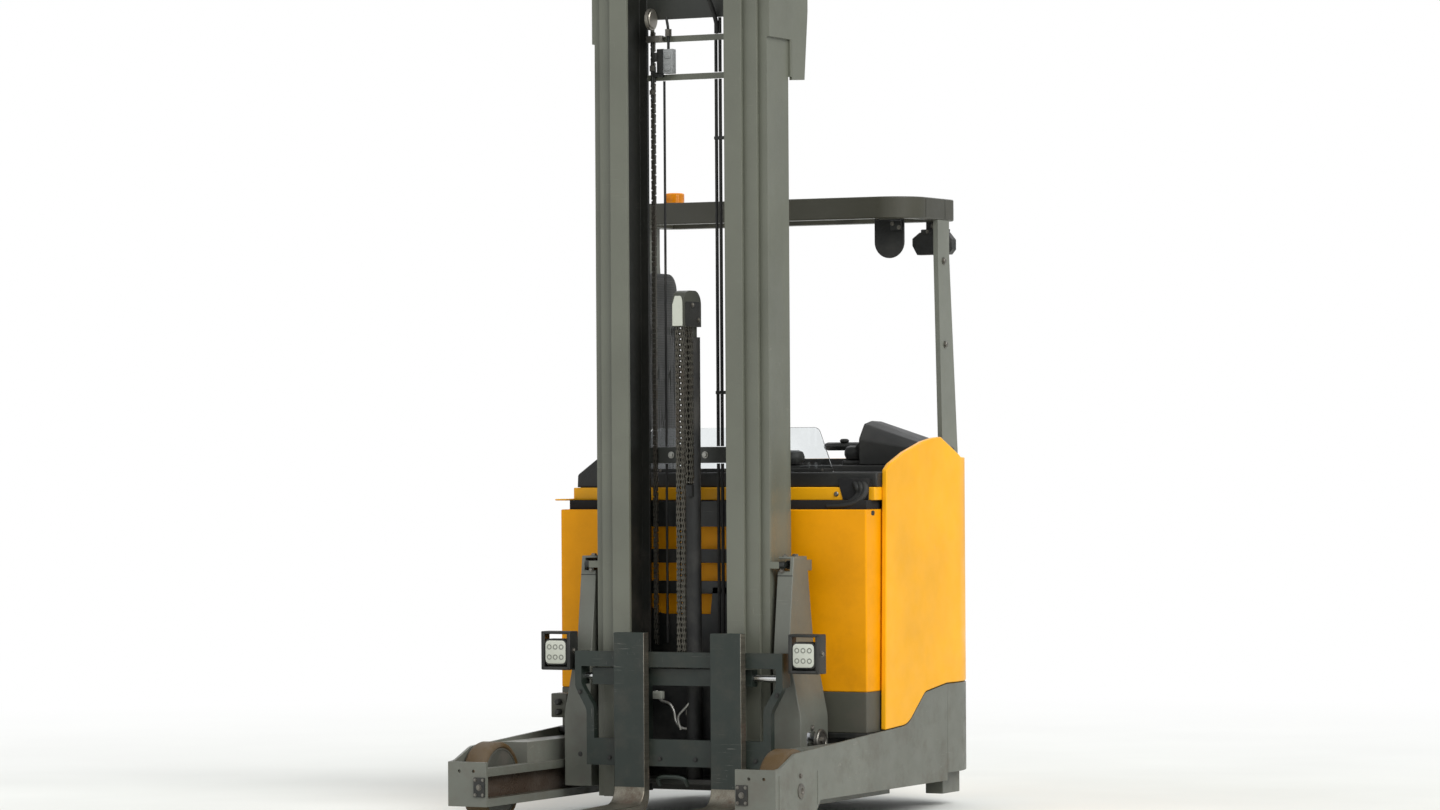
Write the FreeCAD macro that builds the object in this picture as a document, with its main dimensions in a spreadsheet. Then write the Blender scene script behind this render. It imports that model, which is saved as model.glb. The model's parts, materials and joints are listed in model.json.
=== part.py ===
"""Reach truck: a warehouse truck with a triplex mast that slides out between two support arms.

The frame is X across, -Y towards the forks, +Z up, in millimetres.  The origin lies on the floor
below the middle of the truck's length.  Left is -X and right is +X, as seen by someone who stands
in front of the forks.  Every size is a cell of the sheet "Sizes", and the features are bound to
those cells by expressions, so the model follows a change of any of them.
"""
import FreeCAD, Part
import Sketcher

import os

SIZES = [
    # overall
    ("tip_ahead", 1525.0, "fork tips ahead of the battery's front"),
    ("rear_behind", 1030.0, "rear wall behind the battery's front"),
    ("half_width", 635.0, "half the width over the side panels"),
    ("wheelbase", 1400.0, "load axle to drive axle"),
    ("axle_ahead", 585.0, "load axle ahead of the battery's front"),
    ("running_gap", 0.3, "seat clearance between pieces of different bodies"),
    ("pin_gap", 0.05, "radial clearance of a pin in its bore"),
    # support arms
    ("arm_front", 780.0, "front plates ahead of the battery's front"),
    ("arm_width", 153.0, "support arm across"),
    ("arm_plate", 10.0, "outer side plate"),
    ("channel_depth", 32.0, "depth of the roller channel"),
    ("channel_web", 10.0, "web of the roller channel"),
    ("channel_low", 70.0, "underside of the channel above the floor"),
    ("channel_flange", 28.0, "flange of the channel"),
    ("channel_gap", 77.0, "clear height of the channel"),
    ("arm_box_top", 275.0, "top of the arm behind the wheel"),
    ("arm_box_wall", 12.0, "wall of the arm's box section"),
    ("wheel_bay_rear", 430.0, "rear of the wheel bay ahead of the battery's front"),
    ("front_plate", 12.0, "plate across the arm's nose"),
    ("front_plate_top", 225.0, "top of the nose plate"),
    ("front_hole_gap", 56.0, "pitch of the two holes in the nose plate"),
    ("front_hole_radius", 6.0, "holes in the nose plate"),
    ("front_hole_drop", 32.0, "holes below the nose plate's top"),
    ("skirt_low", 103.0, "underside of the side skirt"),
    ("skirt_seam", 627.0, "upright seam of the skirt behind the battery's front"),
    ("skirt_rise_start", 290.0, "where the skirt's hump starts"),
    ("skirt_rise_end", 440.0, "where the skirt's hump ends"),
    ("skirt_low_top", 321.0, "top of the skirt ahead of the hump"),
    ("skirt_high_top", 430.0, "top of the skirt at the hump's end"),
    ("skirt_rear_top", 452.0, "top of the skirt at the seam"),
    ("skirt_foot_round", 142.0, "rounding at the foot of the skirt's hump"),
    ("skirt_head_round", 60.0, "rounding at the head of the skirt's hump"),
    # load wheels
    ("load_radius", 142.5, "load wheel"),
    ("load_width", 88.0, "load wheel"),
    ("load_axle_radius", 25.0, "load axle"),
    ("tyre_round", 10.0, "shoulder of a wheel"),
    # drive unit
    ("drive_x", -40.0, "drive wheel to the right of the middle"),
    ("drive_radius", 171.5, "drive wheel"),
    ("drive_width", 114.0, "drive wheel"),
    ("drive_axle_radius", 30.0, "drive wheel's shaft"),
    ("gear_thick", 70.0, "gear housing beside the drive wheel"),
    ("gear_radius", 105.0, "gear housing's foot"),
    ("steer_ring_radius", 150.0, "slewing ring of the drive unit"),
    ("steer_ring_low", 365.0, "underside of the slewing ring"),
    ("steer_ring_height", 40.0, "slewing ring"),
    ("motor_radius", 105.0, "traction motor"),
    ("motor_height", 260.0, "traction motor"),
    ("motor_cover", 165.0, "half the width of the cover over the drive motor"),
    ("motor_cover_front", 685.0, "front of that cover behind the battery's front"),
    ("motor_cover_gap", 25.0, "cover above the drive motor"),
    # base frame
    ("deck_low", 286.0, "underside of the battery deck"),
    ("deck_thick", 20.0, "battery deck"),
    ("battery_low", 306.0, "underside of the battery's lower case"),
    ("battery_clear", 5.0, "battery in from the side panels"),
    ("battery_depth", 353.0, "battery"),
    ("battery_split", 450.0, "where the lower case meets the yellow battery cover"),
    ("battery_top", 1091.0, "top of the battery"),
    ("battery_edge", 6.0, "rounding of the battery's upright edges"),
    # body panels
    ("panel_wall", 20.0, "panel thickness"),
    ("panel_front", 100.0, "front edge of the side panel behind the battery's front"),
    ("panel_front_top", 1229.0, "side panel's top at its front edge"),
    ("panel_peak", 587.0, "highest point of the side panel"),
    ("panel_peak_top", 1345.0, "side panel's top"),
    ("panel_rear_top", 1268.0, "side panel's top at the rear"),
    ("panel_low", 316.0, "underside of the side panel's front"),
    ("rear_round", 300.0, "rounding of the rear corners in plan"),
    ("door_overlap", 5.0, "corner panel past the rounded corner"),
    ("panel_gap", 3.0, "joint between neighbouring panels"),
    ("left_low_rear", 395.0, "rear of the left panel's low part behind the battery's front"),
    ("entry_front", 735.0, "front of the entry behind the battery's front"),
    ("entry_sill", 500.0, "top of the entry's sill"),
    ("rear_skirt_low", 130.0, "underside of the rear skirt"),
    ("foot_low", 45.0, "underside of the stabiliser feet"),
    ("foot_ahead", 290.0, "front of the stabiliser foot ahead of the rear wall"),
    ("foot_length", 150.0, "stabiliser foot"),
    ("foot_width", 70.0, "stabiliser foot"),
    # driver's compartment
    ("wall_y", 362.0, "front of the compartment's bulkhead behind the battery's front"),
    ("bulkhead", 22.0, "bulkhead between battery and driver"),
    ("floor_top", 480.0, "driver's floor"),
    ("floor_thick", 18.0, "driver's floor"),
    ("lid_low", 1123.0, "underside of the yellow battery lid"),
    ("lid_top", 1169.0, "top of the yellow battery lid"),
    ("lid_front", 62.0, "front of the lid behind the battery's front"),
    ("lid_in", 45.0, "left end of the lid in from the truck's side"),
    ("lid_tongue", 41.0, "catch that stands out past the lid's left end"),
    ("lid_tongue_depth", 75.0, "that catch along Y behind the lid's front"),
    ("console_top", 1222.0, "top of the black console"),
    ("console_rise", 1276.0, "top of the console's left part"),
    ("console_in", 13.0, "foot of the console in from the lid's left end"),
    ("console_shoulder", 100.0, "left shoulder of the console in from the lid's left end"),
    ("hood_front", 393.0, "front of the instrument hood behind the battery's front"),
    ("hood_rear", 760.0, "rear of the instrument hood behind the battery's front"),
    ("hood_height", 161.0, "instrument hood above the desk"),
    ("hood_left", 215.0, "width of the instrument hood"),
    ("desk_top", 1245.0, "top of the steering desk"),
    ("desk_left", 165.0, "inner side of the steering desk from the middle"),
    ("steer_radius", 120.0, "steering handwheel"),
    ("steer_rim", 11.0, "section radius of the handwheel's rim"),
    ("steer_pad", 33.0, "hub of the handwheel above the desk"),
    ("seat_top", 930.0, "top of the seat cushion"),
    ("seat_thick", 110.0, "seat cushion"),
    ("seat_depth", 410.0, "seat cushion along X"),
    ("seat_width", 320.0, "seat cushion along Y"),
    ("seat_in", 71.0, "back of the seat in from the truck's side"),
    ("seat_y", 560.0, "middle of the seat behind the battery's front"),
    ("back_thick", 90.0, "backrest"),
    ("back_top", 1961.0, "top of the backrest"),
    ("back_width", 280.0, "backrest"),
    ("screen_thick", 6.0, "clear screen"),
    ("screen_height", 160.0, "clear screen"),
    ("screen_y", 190.0, "screen behind the battery's front"),
    ("screen_left", 345.0, "screen's left edge from the middle"),
    ("screen_right", 395.0, "screen's right foot from the middle"),
    ("screen_slope", 60.0, "slant of the screen's right edge"),
    # overhead guard
    ("guard_top", 2210.0, "top of the overhead guard"),
    ("guard_band", 78.0, "height of the guard's rim"),
    ("guard_front", 410.0, "front of the guard behind the battery's front"),
    ("guard_rear", 828.0, "rear of the guard behind the battery's front"),
    ("guard_in", 32.0, "guard in from the truck's sides"),
    ("guard_rim", 60.0, "rim of the guard"),
    ("guard_round", 134.0, "front corners of the guard in plan"),
    ("guard_bar", 30.0, "longitudinal bar of the guard"),
    ("guard_bars", 5.0, "number of longitudinal bars"),
    ("guard_side", 201.0, "outermost bar in from the guard's side"),
    ("post_thick", 18.0, "rear post across"),
    ("post_top_front", 640.0, "front edge of a post at the guard"),
    ("post_top_rear", 740.0, "rear edge of a post at the guard"),
    ("post_low_front", 673.0, "front edge of a post at the panel"),
    ("post_low_rear", 809.0, "rear edge of a post at the panel"),
    ("post_bend", 2000.0, "height where the posts turn upright"),
    ("beacon_radius", 37.0, "beacon"),
    ("beacon_height", 62.0, "beacon"),
    ("beacon_y", 512.0, "beacon behind the battery's front"),
    ("mirror_y", 520.0, "mirror behind the battery's front"),
    ("mirror_width", 118.0, "mirror"),
    ("mirror_low", 1980.0, "underside of the mirror"),
    ("mirror_thick", 12.0, "mirror"),
    ("cab_lamp_in", 172.0, "inner side of the cab lamp in from the guard's side"),
    ("cab_lamp_width", 164.0, "cab lamp"),
    ("cab_lamp_low", 2009.0, "underside of the cab lamp"),
    ("cab_lamp_height", 99.0, "cab lamp"),
    ("cab_lamp_depth", 48.0, "cab lamp"),
    # reach carriage
    ("cheek_inner", 360.0, "inner face of the cheek"),
    ("cheek_outer", 420.0, "outer face of the cheek at its top"),
    ("cheek_clear", 14.0, "cheek's foot in from the arm"),
    ("cheek_top", 929.0, "top of the cheek"),
    ("cheek_low", 112.0, "underside of the cheek"),
    ("cheek_front", 240.0, "front of the cheek ahead of the battery's front"),
    ("cheek_top_front", 190.0, "front of the cheek at its top"),
    ("cheek_top_rear", 85.0, "rear of the cheek at its top"),
    ("cheek_shoulder", 330.0, "cheek's full width ends this far above the pivot"),
    ("cheek_rear", 22.0, "rear of the cheek ahead of the battery's front"),
    ("rail_rear", 330.0, "rear end of the carriage's side rails behind the battery's front"),
    ("rail_high", 205.0, "top of the carriage's side rails"),
    ("rail_thick", 38.0, "side rails of the carriage"),
    ("beam_depth", 80.0, "cross beam of the reach carriage"),
    ("roller_radius", 38.2, "carriage roller"),
    ("roller_width", 26.0, "carriage roller"),
    ("roller_front", 20.0, "front roller behind the battery's front"),
    ("roller_rear", 290.0, "rear roller behind the battery's front"),
    ("reach_travel", 560.0, "travel of the reach carriage"),
    ("reach_barrel", 38.0, "reach cylinder"),
    ("reach_rod", 20.0, "rod of the reach cylinder"),
    ("reach_z", 150.0, "reach cylinder above the floor"),
    ("reach_x", 300.0, "reach cylinder to the right of the middle"),
    ("reach_start", 20.0, "mouth of the reach cylinder behind the rod's root"),
    # mast
    ("pivot_ahead", 85.0, "mast pivot ahead of the battery's front"),
    ("pivot_high", 280.0, "mast pivot above the floor"),
    ("pivot_radius", 35.0, "mast pivot pin"),
    ("mast_low", 78.0, "foot of the outer mast"),
    ("mast_top", 3100.0, "top of the lowered mast"),
    ("mast_rear", 49.0, "back of the outer mast ahead of the battery's front"),
    ("mast_depth", 170.0, "depth of each mast profile"),
    ("mast_step", 20.0, "each stage stands this much further forward"),
    ("mast_flange", 14.0, "flange of a mast profile"),
    ("mast_web", 12.0, "web of a mast profile"),
    ("outer_half", 341.0, "outer mast from the middle"),
    ("outer_lip", 291.0, "inner edge of the outer mast's flanges"),
    ("middle_half", 311.0, "middle mast from the middle"),
    ("middle_lip", 243.0, "inner edge of the middle mast's flanges"),
    ("middle_web_x", 272.0, "inner face of the middle mast's web"),
    ("inner_half", 260.0, "inner mast from the middle"),
    ("inner_lip", 192.0, "inner edge of the inner mast's flanges"),
    ("inner_web_x", 222.0, "inner face of the inner mast's web"),
    ("guide_radius", 30.0, "guide roller between outer and middle stage"),
    ("stage_roller", 55.0, "guide roller between middle and inner stage"),
    ("carriage_roller", 70.7, "roller of the lift carriage"),
    ("tilt_x", 386.0, "tilt cylinder from the middle"),
    ("tilt_high", 900.0, "tilt cylinder above the floor"),
    ("tilt_pin_y", 60.0, "rear pin of the tilt cylinder ahead of the battery's front"),
    ("tilt_eye_y", 207.0, "rod eye of the tilt cylinder ahead of the battery's front"),
    ("tilt_barrel", 15.0, "tilt cylinder"),
    ("tilt_rod", 8.0, "rod of the tilt cylinder"),
    ("tilt_pin", 6.0, "pins of the tilt cylinder"),
    ("stage_travel", 2350.0, "travel of each mast stage"),
    ("carriage_travel", 2200.0, "travel of the fork carriage in the inner stage"),
    ("tie_height", 90.0, "cross tie"),
    ("tie_thick", 12.0, "cross tie"),
    ("top_plate", 10.0, "plates at the head of the outer mast"),
    ("top_plate_low", 2746.0, "underside of those plates at the front"),
    ("top_plate_drop", 142.0, "underside of their rear part below the front part"),
    ("top_plate_step", 33.0, "front of their rear part ahead of the battery's front"),
    ("top_plate_rear", 90.0, "rear of the plates behind the battery's front"),
    ("lift_barrel", 17.0, "lift cylinder"),
    ("lift_bore", 11.3, "bore of a lift cylinder"),
    ("lift_rod", 11.0, "rod of a lift cylinder"),
    ("lift_x", 306.5, "lift cylinder from the middle"),
    ("lift_tube_short", 320.0, "lift cylinder shorter than the mast"),
    ("free_x", 32.0, "free lift cylinder to the right of the middle"),
    ("free_barrel", 28.0, "free lift cylinder"),
    ("free_bore", 17.3, "bore of the free lift cylinder"),
    ("free_rod", 17.0, "rod of the free lift cylinder"),
    ("free_guide", 372.0, "rod left in the free lift cylinder at full travel"),
    ("free_top", 1700.0, "top of the free lift cylinder's barrel"),
    ("free_head_top", 1863.0, "top of the lowered free lift head"),
    ("head_low", 1736.0, "underside of the free lift head's cover"),
    ("head_width", 44.0, "cover of the free lift head"),
    ("head_left", 14.0, "its left side from the middle"),
    ("head_front", 318.0, "its front ahead of the battery's front"),
    ("head_rear", 180.0, "its rear ahead of the battery's front"),
    ("head_wall", 5.0, "its wall"),
    ("head_round", 50.0, "its upper corners"),
    ("sheave_radius", 28.0, "chain sheave of the free lift head"),
    ("sheave_ahead", 268.0, "sheave ahead of the battery's front"),
    ("sheave_drop", 46.0, "sheave below the cover's top"),
    ("chain_thick", 8.0, "lift chain"),
    ("chain_width", 24.0, "lift chain"),
    ("chain_anchor", 1180.0, "anchor of the chain on the free lift cylinder"),
    # fork carriage
    ("plate_front", 312.0, "front of the lift carriage ahead of the battery's front"),
    ("plate_thick", 44.0, "lift carriage plates"),
    ("plate_bar_low", 478.0, "underside of the lift carriage's upper bar"),
    ("plate_bar_top", 537.0, "top of the lift carriage's upper bar"),
    ("shift_rest", 36.0, "side shift frame to the right of the middle as parked"),
    ("shift_travel", 62.0, "side shift each way from the middle"),
    ("shift_clear", 6.0, "side shift frame's lugs clear of the lift carriage at the end of the travel"),
    ("frame_half", 408.0, "half the width of the side shift frame"),
    ("frame_front", 335.0, "front of the side shift frame ahead of the battery's front"),
    ("frame_thick", 28.0, "side shift frame's bars"),
    ("lug_width", 25.0, "lugs of the side shift frame across"),
    ("bar_top", 596.0, "top of the upper fork bar"),
    ("bar_low", 543.0, "underside of the upper fork bar"),
    ("low_bar_top", 290.0, "top of the lower fork bar"),
    ("low_bar_low", 196.0, "underside of the lower fork bar"),
    ("side_bend_high", 475.0, "upper bend of the curved side bars"),
    ("side_bend_low", 395.0, "lower bend of the curved side bars"),
    ("fork_width", 120.0, "fork"),
    ("fork_thick", 40.0, "fork"),
    ("fork_top", 665.0, "top of the fork shanks"),
    ("fork_low", 25.0, "underside of the fork blades"),
    ("fork_front", 375.0, "front face of the shanks ahead of the battery's front"),
    ("fork_left", 137.0, "left fork from the middle"),
    ("fork_right", 243.0, "right fork from the middle"),
    ("fork_tip", 14.0, "fork blade at its tip"),
    ("fork_heel", 60.0, "inner rounding of the fork heel"),
    ("lamp_width", 118.0, "work lamp"),
    ("lamp_height", 137.0, "work lamp"),
    ("lamp_depth", 62.0, "work lamp"),
    ("lamp_x", 488.0, "work lamp from the side shift frame's middle"),
    ("lamp_low", 527.0, "underside of the work lamps"),
]

X_AXIS = FreeCAD.Vector(1, 0, 0)
Y_AXIS = FreeCAD.Vector(0, 1, 0)
Z_AXIS = FreeCAD.Vector(0, 0, 1)


class Dim:
    """A length that knows its number and the expression that binds it to the sheet."""

    def __init__(self, number, text):
        self.number = number
        self.text = text

    @staticmethod
    def of(other):
        return other if isinstance(other, Dim) else Dim(float(other), repr(float(other)))

    def __add__(self, other):
        other = Dim.of(other)
        return Dim(self.number + other.number, f"({self.text} + {other.text})")

    def __radd__(self, other):
        return Dim.of(other) + self

    def __sub__(self, other):
        other = Dim.of(other)
        return Dim(self.number - other.number, f"({self.text} - {other.text})")

    def __rsub__(self, other):
        return Dim.of(other) - self

    def __mul__(self, factor):
        other = Dim.of(factor)
        return Dim(self.number * other.number, f"({self.text} * {other.text})")

    __rmul__ = __mul__

    def __truediv__(self, factor):
        other = Dim.of(factor)
        return Dim(self.number / other.number, f"({self.text} / {other.text})")

    def __neg__(self):
        return Dim(-self.number, f"(-1 * {self.text})")


class Sizes:
    """The sheet's cells as Dim attributes."""

    def __init__(self, document):
        sheet = document.addObject("Spreadsheet::Sheet", "Sizes")
        for row, (alias, value, meaning) in enumerate(SIZES, start=1):
            sheet.set(f"A{row}", meaning)
            sheet.set(f"B{row}", str(value))
            sheet.setAlias(f"B{row}", alias)
            setattr(self, alias, Dim(value, f"Sizes.{alias}"))


doc = FreeCAD.newDocument("reach_truck")
S = Sizes(doc)
doc.recompute()
FRONT = (S.tip_ahead - S.rear_behind) / 2
ARM_INNER = S.half_width - S.arm_width
CHEEK_FOOT = ARM_INNER - S.cheek_clear
RAIL_INNER = CHEEK_FOOT - S.rail_thick
BATTERY_HALF = S.half_width - S.panel_wall - S.battery_clear
PANEL_SPLIT = S.half_width - S.rear_round - S.door_overlap
GUARD_HALF = S.half_width - S.guard_in
GUARD_LOW = S.guard_top - S.guard_band
GUARD_PITCH = (GUARD_HALF - S.guard_side) * 2 / (S.guard_bars - 1)
SEAT_REAR = S.half_width - S.seat_in
LID_LEFT = S.half_width - S.lid_in
HOOD_TOP = S.desk_top + S.hood_height
PLATE_HALF = S.frame_half - S.lug_width - S.shift_travel - S.shift_clear
NODES = {}


def back(distance):
    """The Y of a plane this far behind the battery's front plane."""
    return FRONT + distance


def ahead(distance):
    """The Y of a plane this far ahead of the battery's front plane."""
    return FRONT - distance


def bind(feature, prop, value):
    """Bind one property to the sheet, or set it where the value is plain."""
    if isinstance(value, Dim):
        feature.setExpression(prop, value.text)
    else:
        feature.setExpression(prop, repr(float(value)))


def place(feature, x=0.0, y=0.0, z=0.0, rotation=None):
    """Give a feature its placement, its base bound to the sheet."""
    if rotation is not None:
        feature.Placement = FreeCAD.Placement(FreeCAD.Vector(0, 0, 0), rotation)
    for key, value in (("x", x), ("y", y), ("z", z)):
        bind(feature, f"Placement.Base.{key}", value)
    return feature


def box(name, low, high):
    """A Part::Box between two corners."""
    feature = doc.addObject("Part::Box", name)
    for prop, start, end in zip(("Length", "Width", "Height"), low, high):
        bind(feature, prop, Dim.of(end) - start)
    return place(feature, *low)


ROLLER_SIDES = 28
TURNS = {
    "Z": FreeCAD.Rotation(),
    "X": FreeCAD.Rotation(Y_AXIS, 90),
    "Y": FreeCAD.Rotation(X_AXIS, -90),
}


def rod(name, axis, start, radius, length):
    """A Part::Cylinder from start along +axis."""
    feature = doc.addObject("Part::Cylinder", name)
    bind(feature, "Radius", radius)
    bind(feature, "Height", length)
    return place(feature, *start, rotation=TURNS[axis])


def roller(name, start, radius, length):
    """A roller across the truck, a prism of many sides."""
    feature = doc.addObject("Part::Prism", name)
    feature.Polygon = ROLLER_SIDES
    bind(feature, "Circumradius", radius)
    bind(feature, "Height", length)
    return place(feature, *start, rotation=TURNS["X"])


def fuse(name, pieces):
    """One solid from pieces that meet."""
    feature = doc.addObject("Part::MultiFuse", name)
    feature.Shapes = pieces
    feature.Refine = True
    return feature


def cut(name, base, tools):
    """The base without the tools."""
    tool = tools[0] if len(tools) == 1 else fuse(name + "_tools", tools)
    feature = doc.addObject("Part::Cut", name)
    feature.Base = base
    feature.Tool = tool
    feature.Refine = True
    return feature


def common(name, first, second):
    """What two solids share."""
    feature = doc.addObject("Part::Common", name)
    feature.Base = first
    feature.Tool = second
    feature.Refine = True
    return feature


def group(name, pieces):
    """Solids that share a node without touching."""
    feature = doc.addObject("Part::Compound", name)
    feature.Links = pieces
    return feature


def mirrored(name, source):
    """The source's mirror image across the truck's middle plane."""
    feature = doc.addObject("Part::Mirroring", name)
    feature.Source = source
    feature.Base = FreeCAD.Vector(0, 0, 0)
    feature.Normal = X_AXIS
    return feature


def node(label, feature):
    """Name a finished sub-part; its label is its file's name."""
    feature.Label = label
    NODES[label] = feature
    return feature


def outline(body, name, plane, points):
    """A closed sketch on one of the body's origin planes, each corner bound to the sheet."""
    role = {"XY": "XY_Plane", "XZ": "XZ_Plane", "YZ": "YZ_Plane"}[plane]
    datum = next(item for item in body.Origin.OriginFeatures if item.Role == role)
    sketch = body.newObject("Sketcher::SketchObject", name)
    sketch.AttachmentSupport = (datum, [""])
    sketch.MapMode = "FlatFace"
    corners = [(Dim.of(u), Dim.of(v)) for u, v in points]
    count = len(corners)
    spots = [FreeCAD.Vector(u.number, v.number, 0) for u, v in corners]
    for index in range(count):
        line = Part.LineSegment(spots[index], spots[(index + 1) % count])
        sketch.addGeometry(line, False)
    for index in range(count):
        joint = Sketcher.Constraint("Coincident", index, 2, (index + 1) % count, 1)
        sketch.addConstraint(joint)
    for index, (u, v) in enumerate(corners):
        for kind, value in (("DistanceX", u), ("DistanceY", v)):
            rule = sketch.addConstraint(Sketcher.Constraint(kind, -1, 1, index, 1, value.number))
            sketch.setExpression(f"Constraints[{rule}]", value.text)
    return sketch


def corner_edges(shape, plane, spot):
    """The names of the edges that run along the plane's normal through one corner."""
    picks = {"XY": (0, 1), "XZ": (0, 2), "YZ": (1, 2)}[plane]
    names = []
    for index, edge in enumerate(shape.Edges, start=1):
        ends = [vertex.Point for vertex in edge.Vertexes]
        if len(ends) == 2 and all(abs(end[picks[0]] - spot[0]) < 0.01 and
                                  abs(end[picks[1]] - spot[1]) < 0.01 for end in ends):
            names.append(f"Edge{index}")
    return names


def prism(name, plane, points, low, high, rounds=()):
    """A padded outline from low to high along the plane's normal, some corners rounded."""
    body = doc.addObject("PartDesign::Body", name)
    sketch = outline(body, name + "_outline", plane, points)
    pad = body.newObject("PartDesign::Pad", name + "_pad")
    pad.Profile = sketch
    bind(pad, "Length", Dim.of(high) - low)
    pad.Reversed = plane == "XZ"
    doc.recompute()
    feature = pad
    for number, (corners, radius) in enumerate(rounds):
        names = []
        for corner in corners:
            u, v = (Dim.of(value).number for value in points[corner])
            names += corner_edges(feature.Shape, plane, (u, v))
        fillet = body.newObject("PartDesign::Fillet", f"{name}_round{number}")
        fillet.Base = (feature, names)
        bind(fillet, "Radius", radius)
        doc.recompute()
        feature = fillet
    start = {"XY": (0, 0, low), "XZ": (0, low, 0), "YZ": (low, 0, 0)}[plane]
    return place(body, *start)


def turned(name, axis, centre, points):
    """A revolved outline of (radius, distance along the axis) around an axis through centre."""
    body = doc.addObject("PartDesign::Body", name)
    sketch = outline(body, name + "_outline", "XZ", points)
    spin = body.newObject("PartDesign::Revolution", name + "_spin")
    spin.Profile = sketch
    spin.ReferenceAxis = (sketch, ["V_Axis"])
    spin.Angle = 360
    doc.recompute()
    return place(body, *centre, rotation=TURNS[axis])


def both_sides(label, build):
    """A right-hand sub-part and its mirror image as two nodes."""
    right = node(label + "_right", build(label))
    return right, node(label + "_left", mirrored(label + "_mirror", right))


# ---- support arms and wheels ---------------------------------------------------------------

def skirt_top(lift):
    """The skirt's upper edge from the arm's shoulder to the seam, raised by lift."""
    return [
        (back(S.skirt_rise_start), S.skirt_low_top + lift),
        (back(S.skirt_rise_end), S.skirt_high_top + lift),
    ]


def support_arm(label):
    """Outer plate, nose plate, roller channel and box section as one weldment."""
    web_in = ARM_INNER + S.channel_depth
    web_out = web_in + S.channel_web
    plate_in = S.half_width - S.arm_plate
    top = S.channel_low + 2 * S.channel_flange + S.channel_gap
    nose = ahead(S.arm_front)
    rear = back(S.rail_rear + S.roller_radius)
    points = [
        (nose, S.channel_low),
        (nose, S.front_plate_top),
        (nose + 40, S.front_plate_top + 4),
        (nose + 150, S.arm_box_top - 4),
        *skirt_top(0),
        (back(S.skirt_seam), S.skirt_rear_top),
        (back(S.skirt_seam), S.skirt_low),
        (ahead(S.wheel_bay_rear), S.skirt_low),
        (ahead(S.wheel_bay_rear) - 30, S.channel_low),
    ]
    skin = prism(label + "_skin", "YZ", points, plate_in, S.half_width,
                 rounds=[((2, 3), S.load_axle_radius * 3), ((4,), S.skirt_foot_round),
                         ((5,), S.skirt_head_round)])
    plate = box(label + "_nose", (ARM_INNER, nose, S.channel_low),
                (S.half_width, nose + S.front_plate, S.front_plate_top))
    web = box(label + "_web", (web_in, nose, S.channel_low), (web_out, rear, top))
    low = box(label + "_low", (ARM_INNER, nose, S.channel_low),
              (web_out, rear, S.channel_low + S.channel_flange))
    high = box(label + "_high", (ARM_INNER, nose, top - S.channel_flange), (web_out, rear, top))
    start = ahead(S.wheel_bay_rear)
    case = box(label + "_case", (web_in, start, S.skirt_low), (S.half_width, rear, S.arm_box_top))
    hollow = box(label + "_hollow",
                 (web_out, start + S.arm_box_wall, S.skirt_low + S.arm_box_wall),
                 (plate_in, rear - S.arm_box_wall, S.arm_box_top - S.arm_box_wall))
    shell = cut(label + "_shell", case, [hollow])
    whole = fuse(label + "_whole", [skin, plate, web, low, high, shell, load_axle(label + "_axle")])
    middle = S.half_width - S.front_hole_gap * 0.8
    holes = [rod(f"{label}_hole{side}", "Y",
                 (middle - S.front_hole_gap / 2 + side * S.front_hole_gap / 2, nose - 5,
                  S.front_plate_top - S.front_hole_drop), S.front_hole_radius, S.front_plate + 10)
             for side in (-1, 1)]
    return cut(label + "_part", whole, holes)


def load_axle(label):
    """The load wheel's axle between the channel web and the outer plate."""
    start = ARM_INNER + S.channel_depth + S.channel_web
    return rod(label + "_pin", "X", (start, ahead(S.axle_ahead), S.load_radius),
               S.load_axle_radius, S.half_width - S.arm_plate - start)


def tread_outline(radius, half, bore):
    """Half section of a solid wheel with chamfered shoulders."""
    return [
        (bore, -half), (radius - S.tyre_round, -half), (radius, -half + S.tyre_round),
        (radius, half - S.tyre_round), (radius - S.tyre_round, half), (bore, half),
    ]


def load_wheel(label):
    """Polyurethane load wheel on its axle."""
    start = ARM_INNER + S.channel_depth + S.channel_web
    middle = (start + S.half_width - S.arm_plate) / 2
    return turned(label + "_part", "X", (middle, ahead(S.axle_ahead), S.load_radius),
                  tread_outline(S.load_radius, S.load_width / 2, S.load_axle_radius + S.pin_gap))


def drive_wheel():
    """Driven and steered rear wheel."""
    centre = (S.drive_x, back(S.wheelbase - S.axle_ahead), S.drive_radius)
    return turned("drive_wheel_part", "X", centre,
                  tread_outline(S.drive_radius, S.drive_width / 2,
                                S.drive_axle_radius + S.pin_gap))


def drive_gear():
    """Slewing ring and gear leg that carry the drive wheel's shaft."""
    x, y = S.drive_x, back(S.wheelbase - S.axle_ahead)
    ring = rod("gear_ring", "Z", (x, y, S.steer_ring_low), S.steer_ring_radius,
               S.steer_ring_height - S.running_gap)
    side = x + S.drive_width / 2 + 8
    leg = box("gear_leg", (side, y - S.gear_radius * 0.8, S.drive_radius),
              (side + S.gear_thick, y + S.gear_radius * 0.8, S.steer_ring_low + 5))
    foot = rod("gear_foot", "X", (side, y, S.drive_radius), S.gear_radius, S.gear_thick)
    shaft = rod("gear_shaft", "X", (x - S.drive_width / 2, y, S.drive_radius),
                S.drive_axle_radius, S.drive_width + 12)
    return fuse("drive_gear_part", [ring, leg, foot, shaft])


def drive_motor():
    """Traction motor above the slewing ring."""
    top = S.steer_ring_low + S.steer_ring_height + S.deck_thick
    return rod("drive_motor_part", "Z", (S.drive_x, back(S.wheelbase - S.axle_ahead), top),
               S.motor_radius, S.motor_height)


# ---- base frame ----------------------------------------------------------------------------

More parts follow.
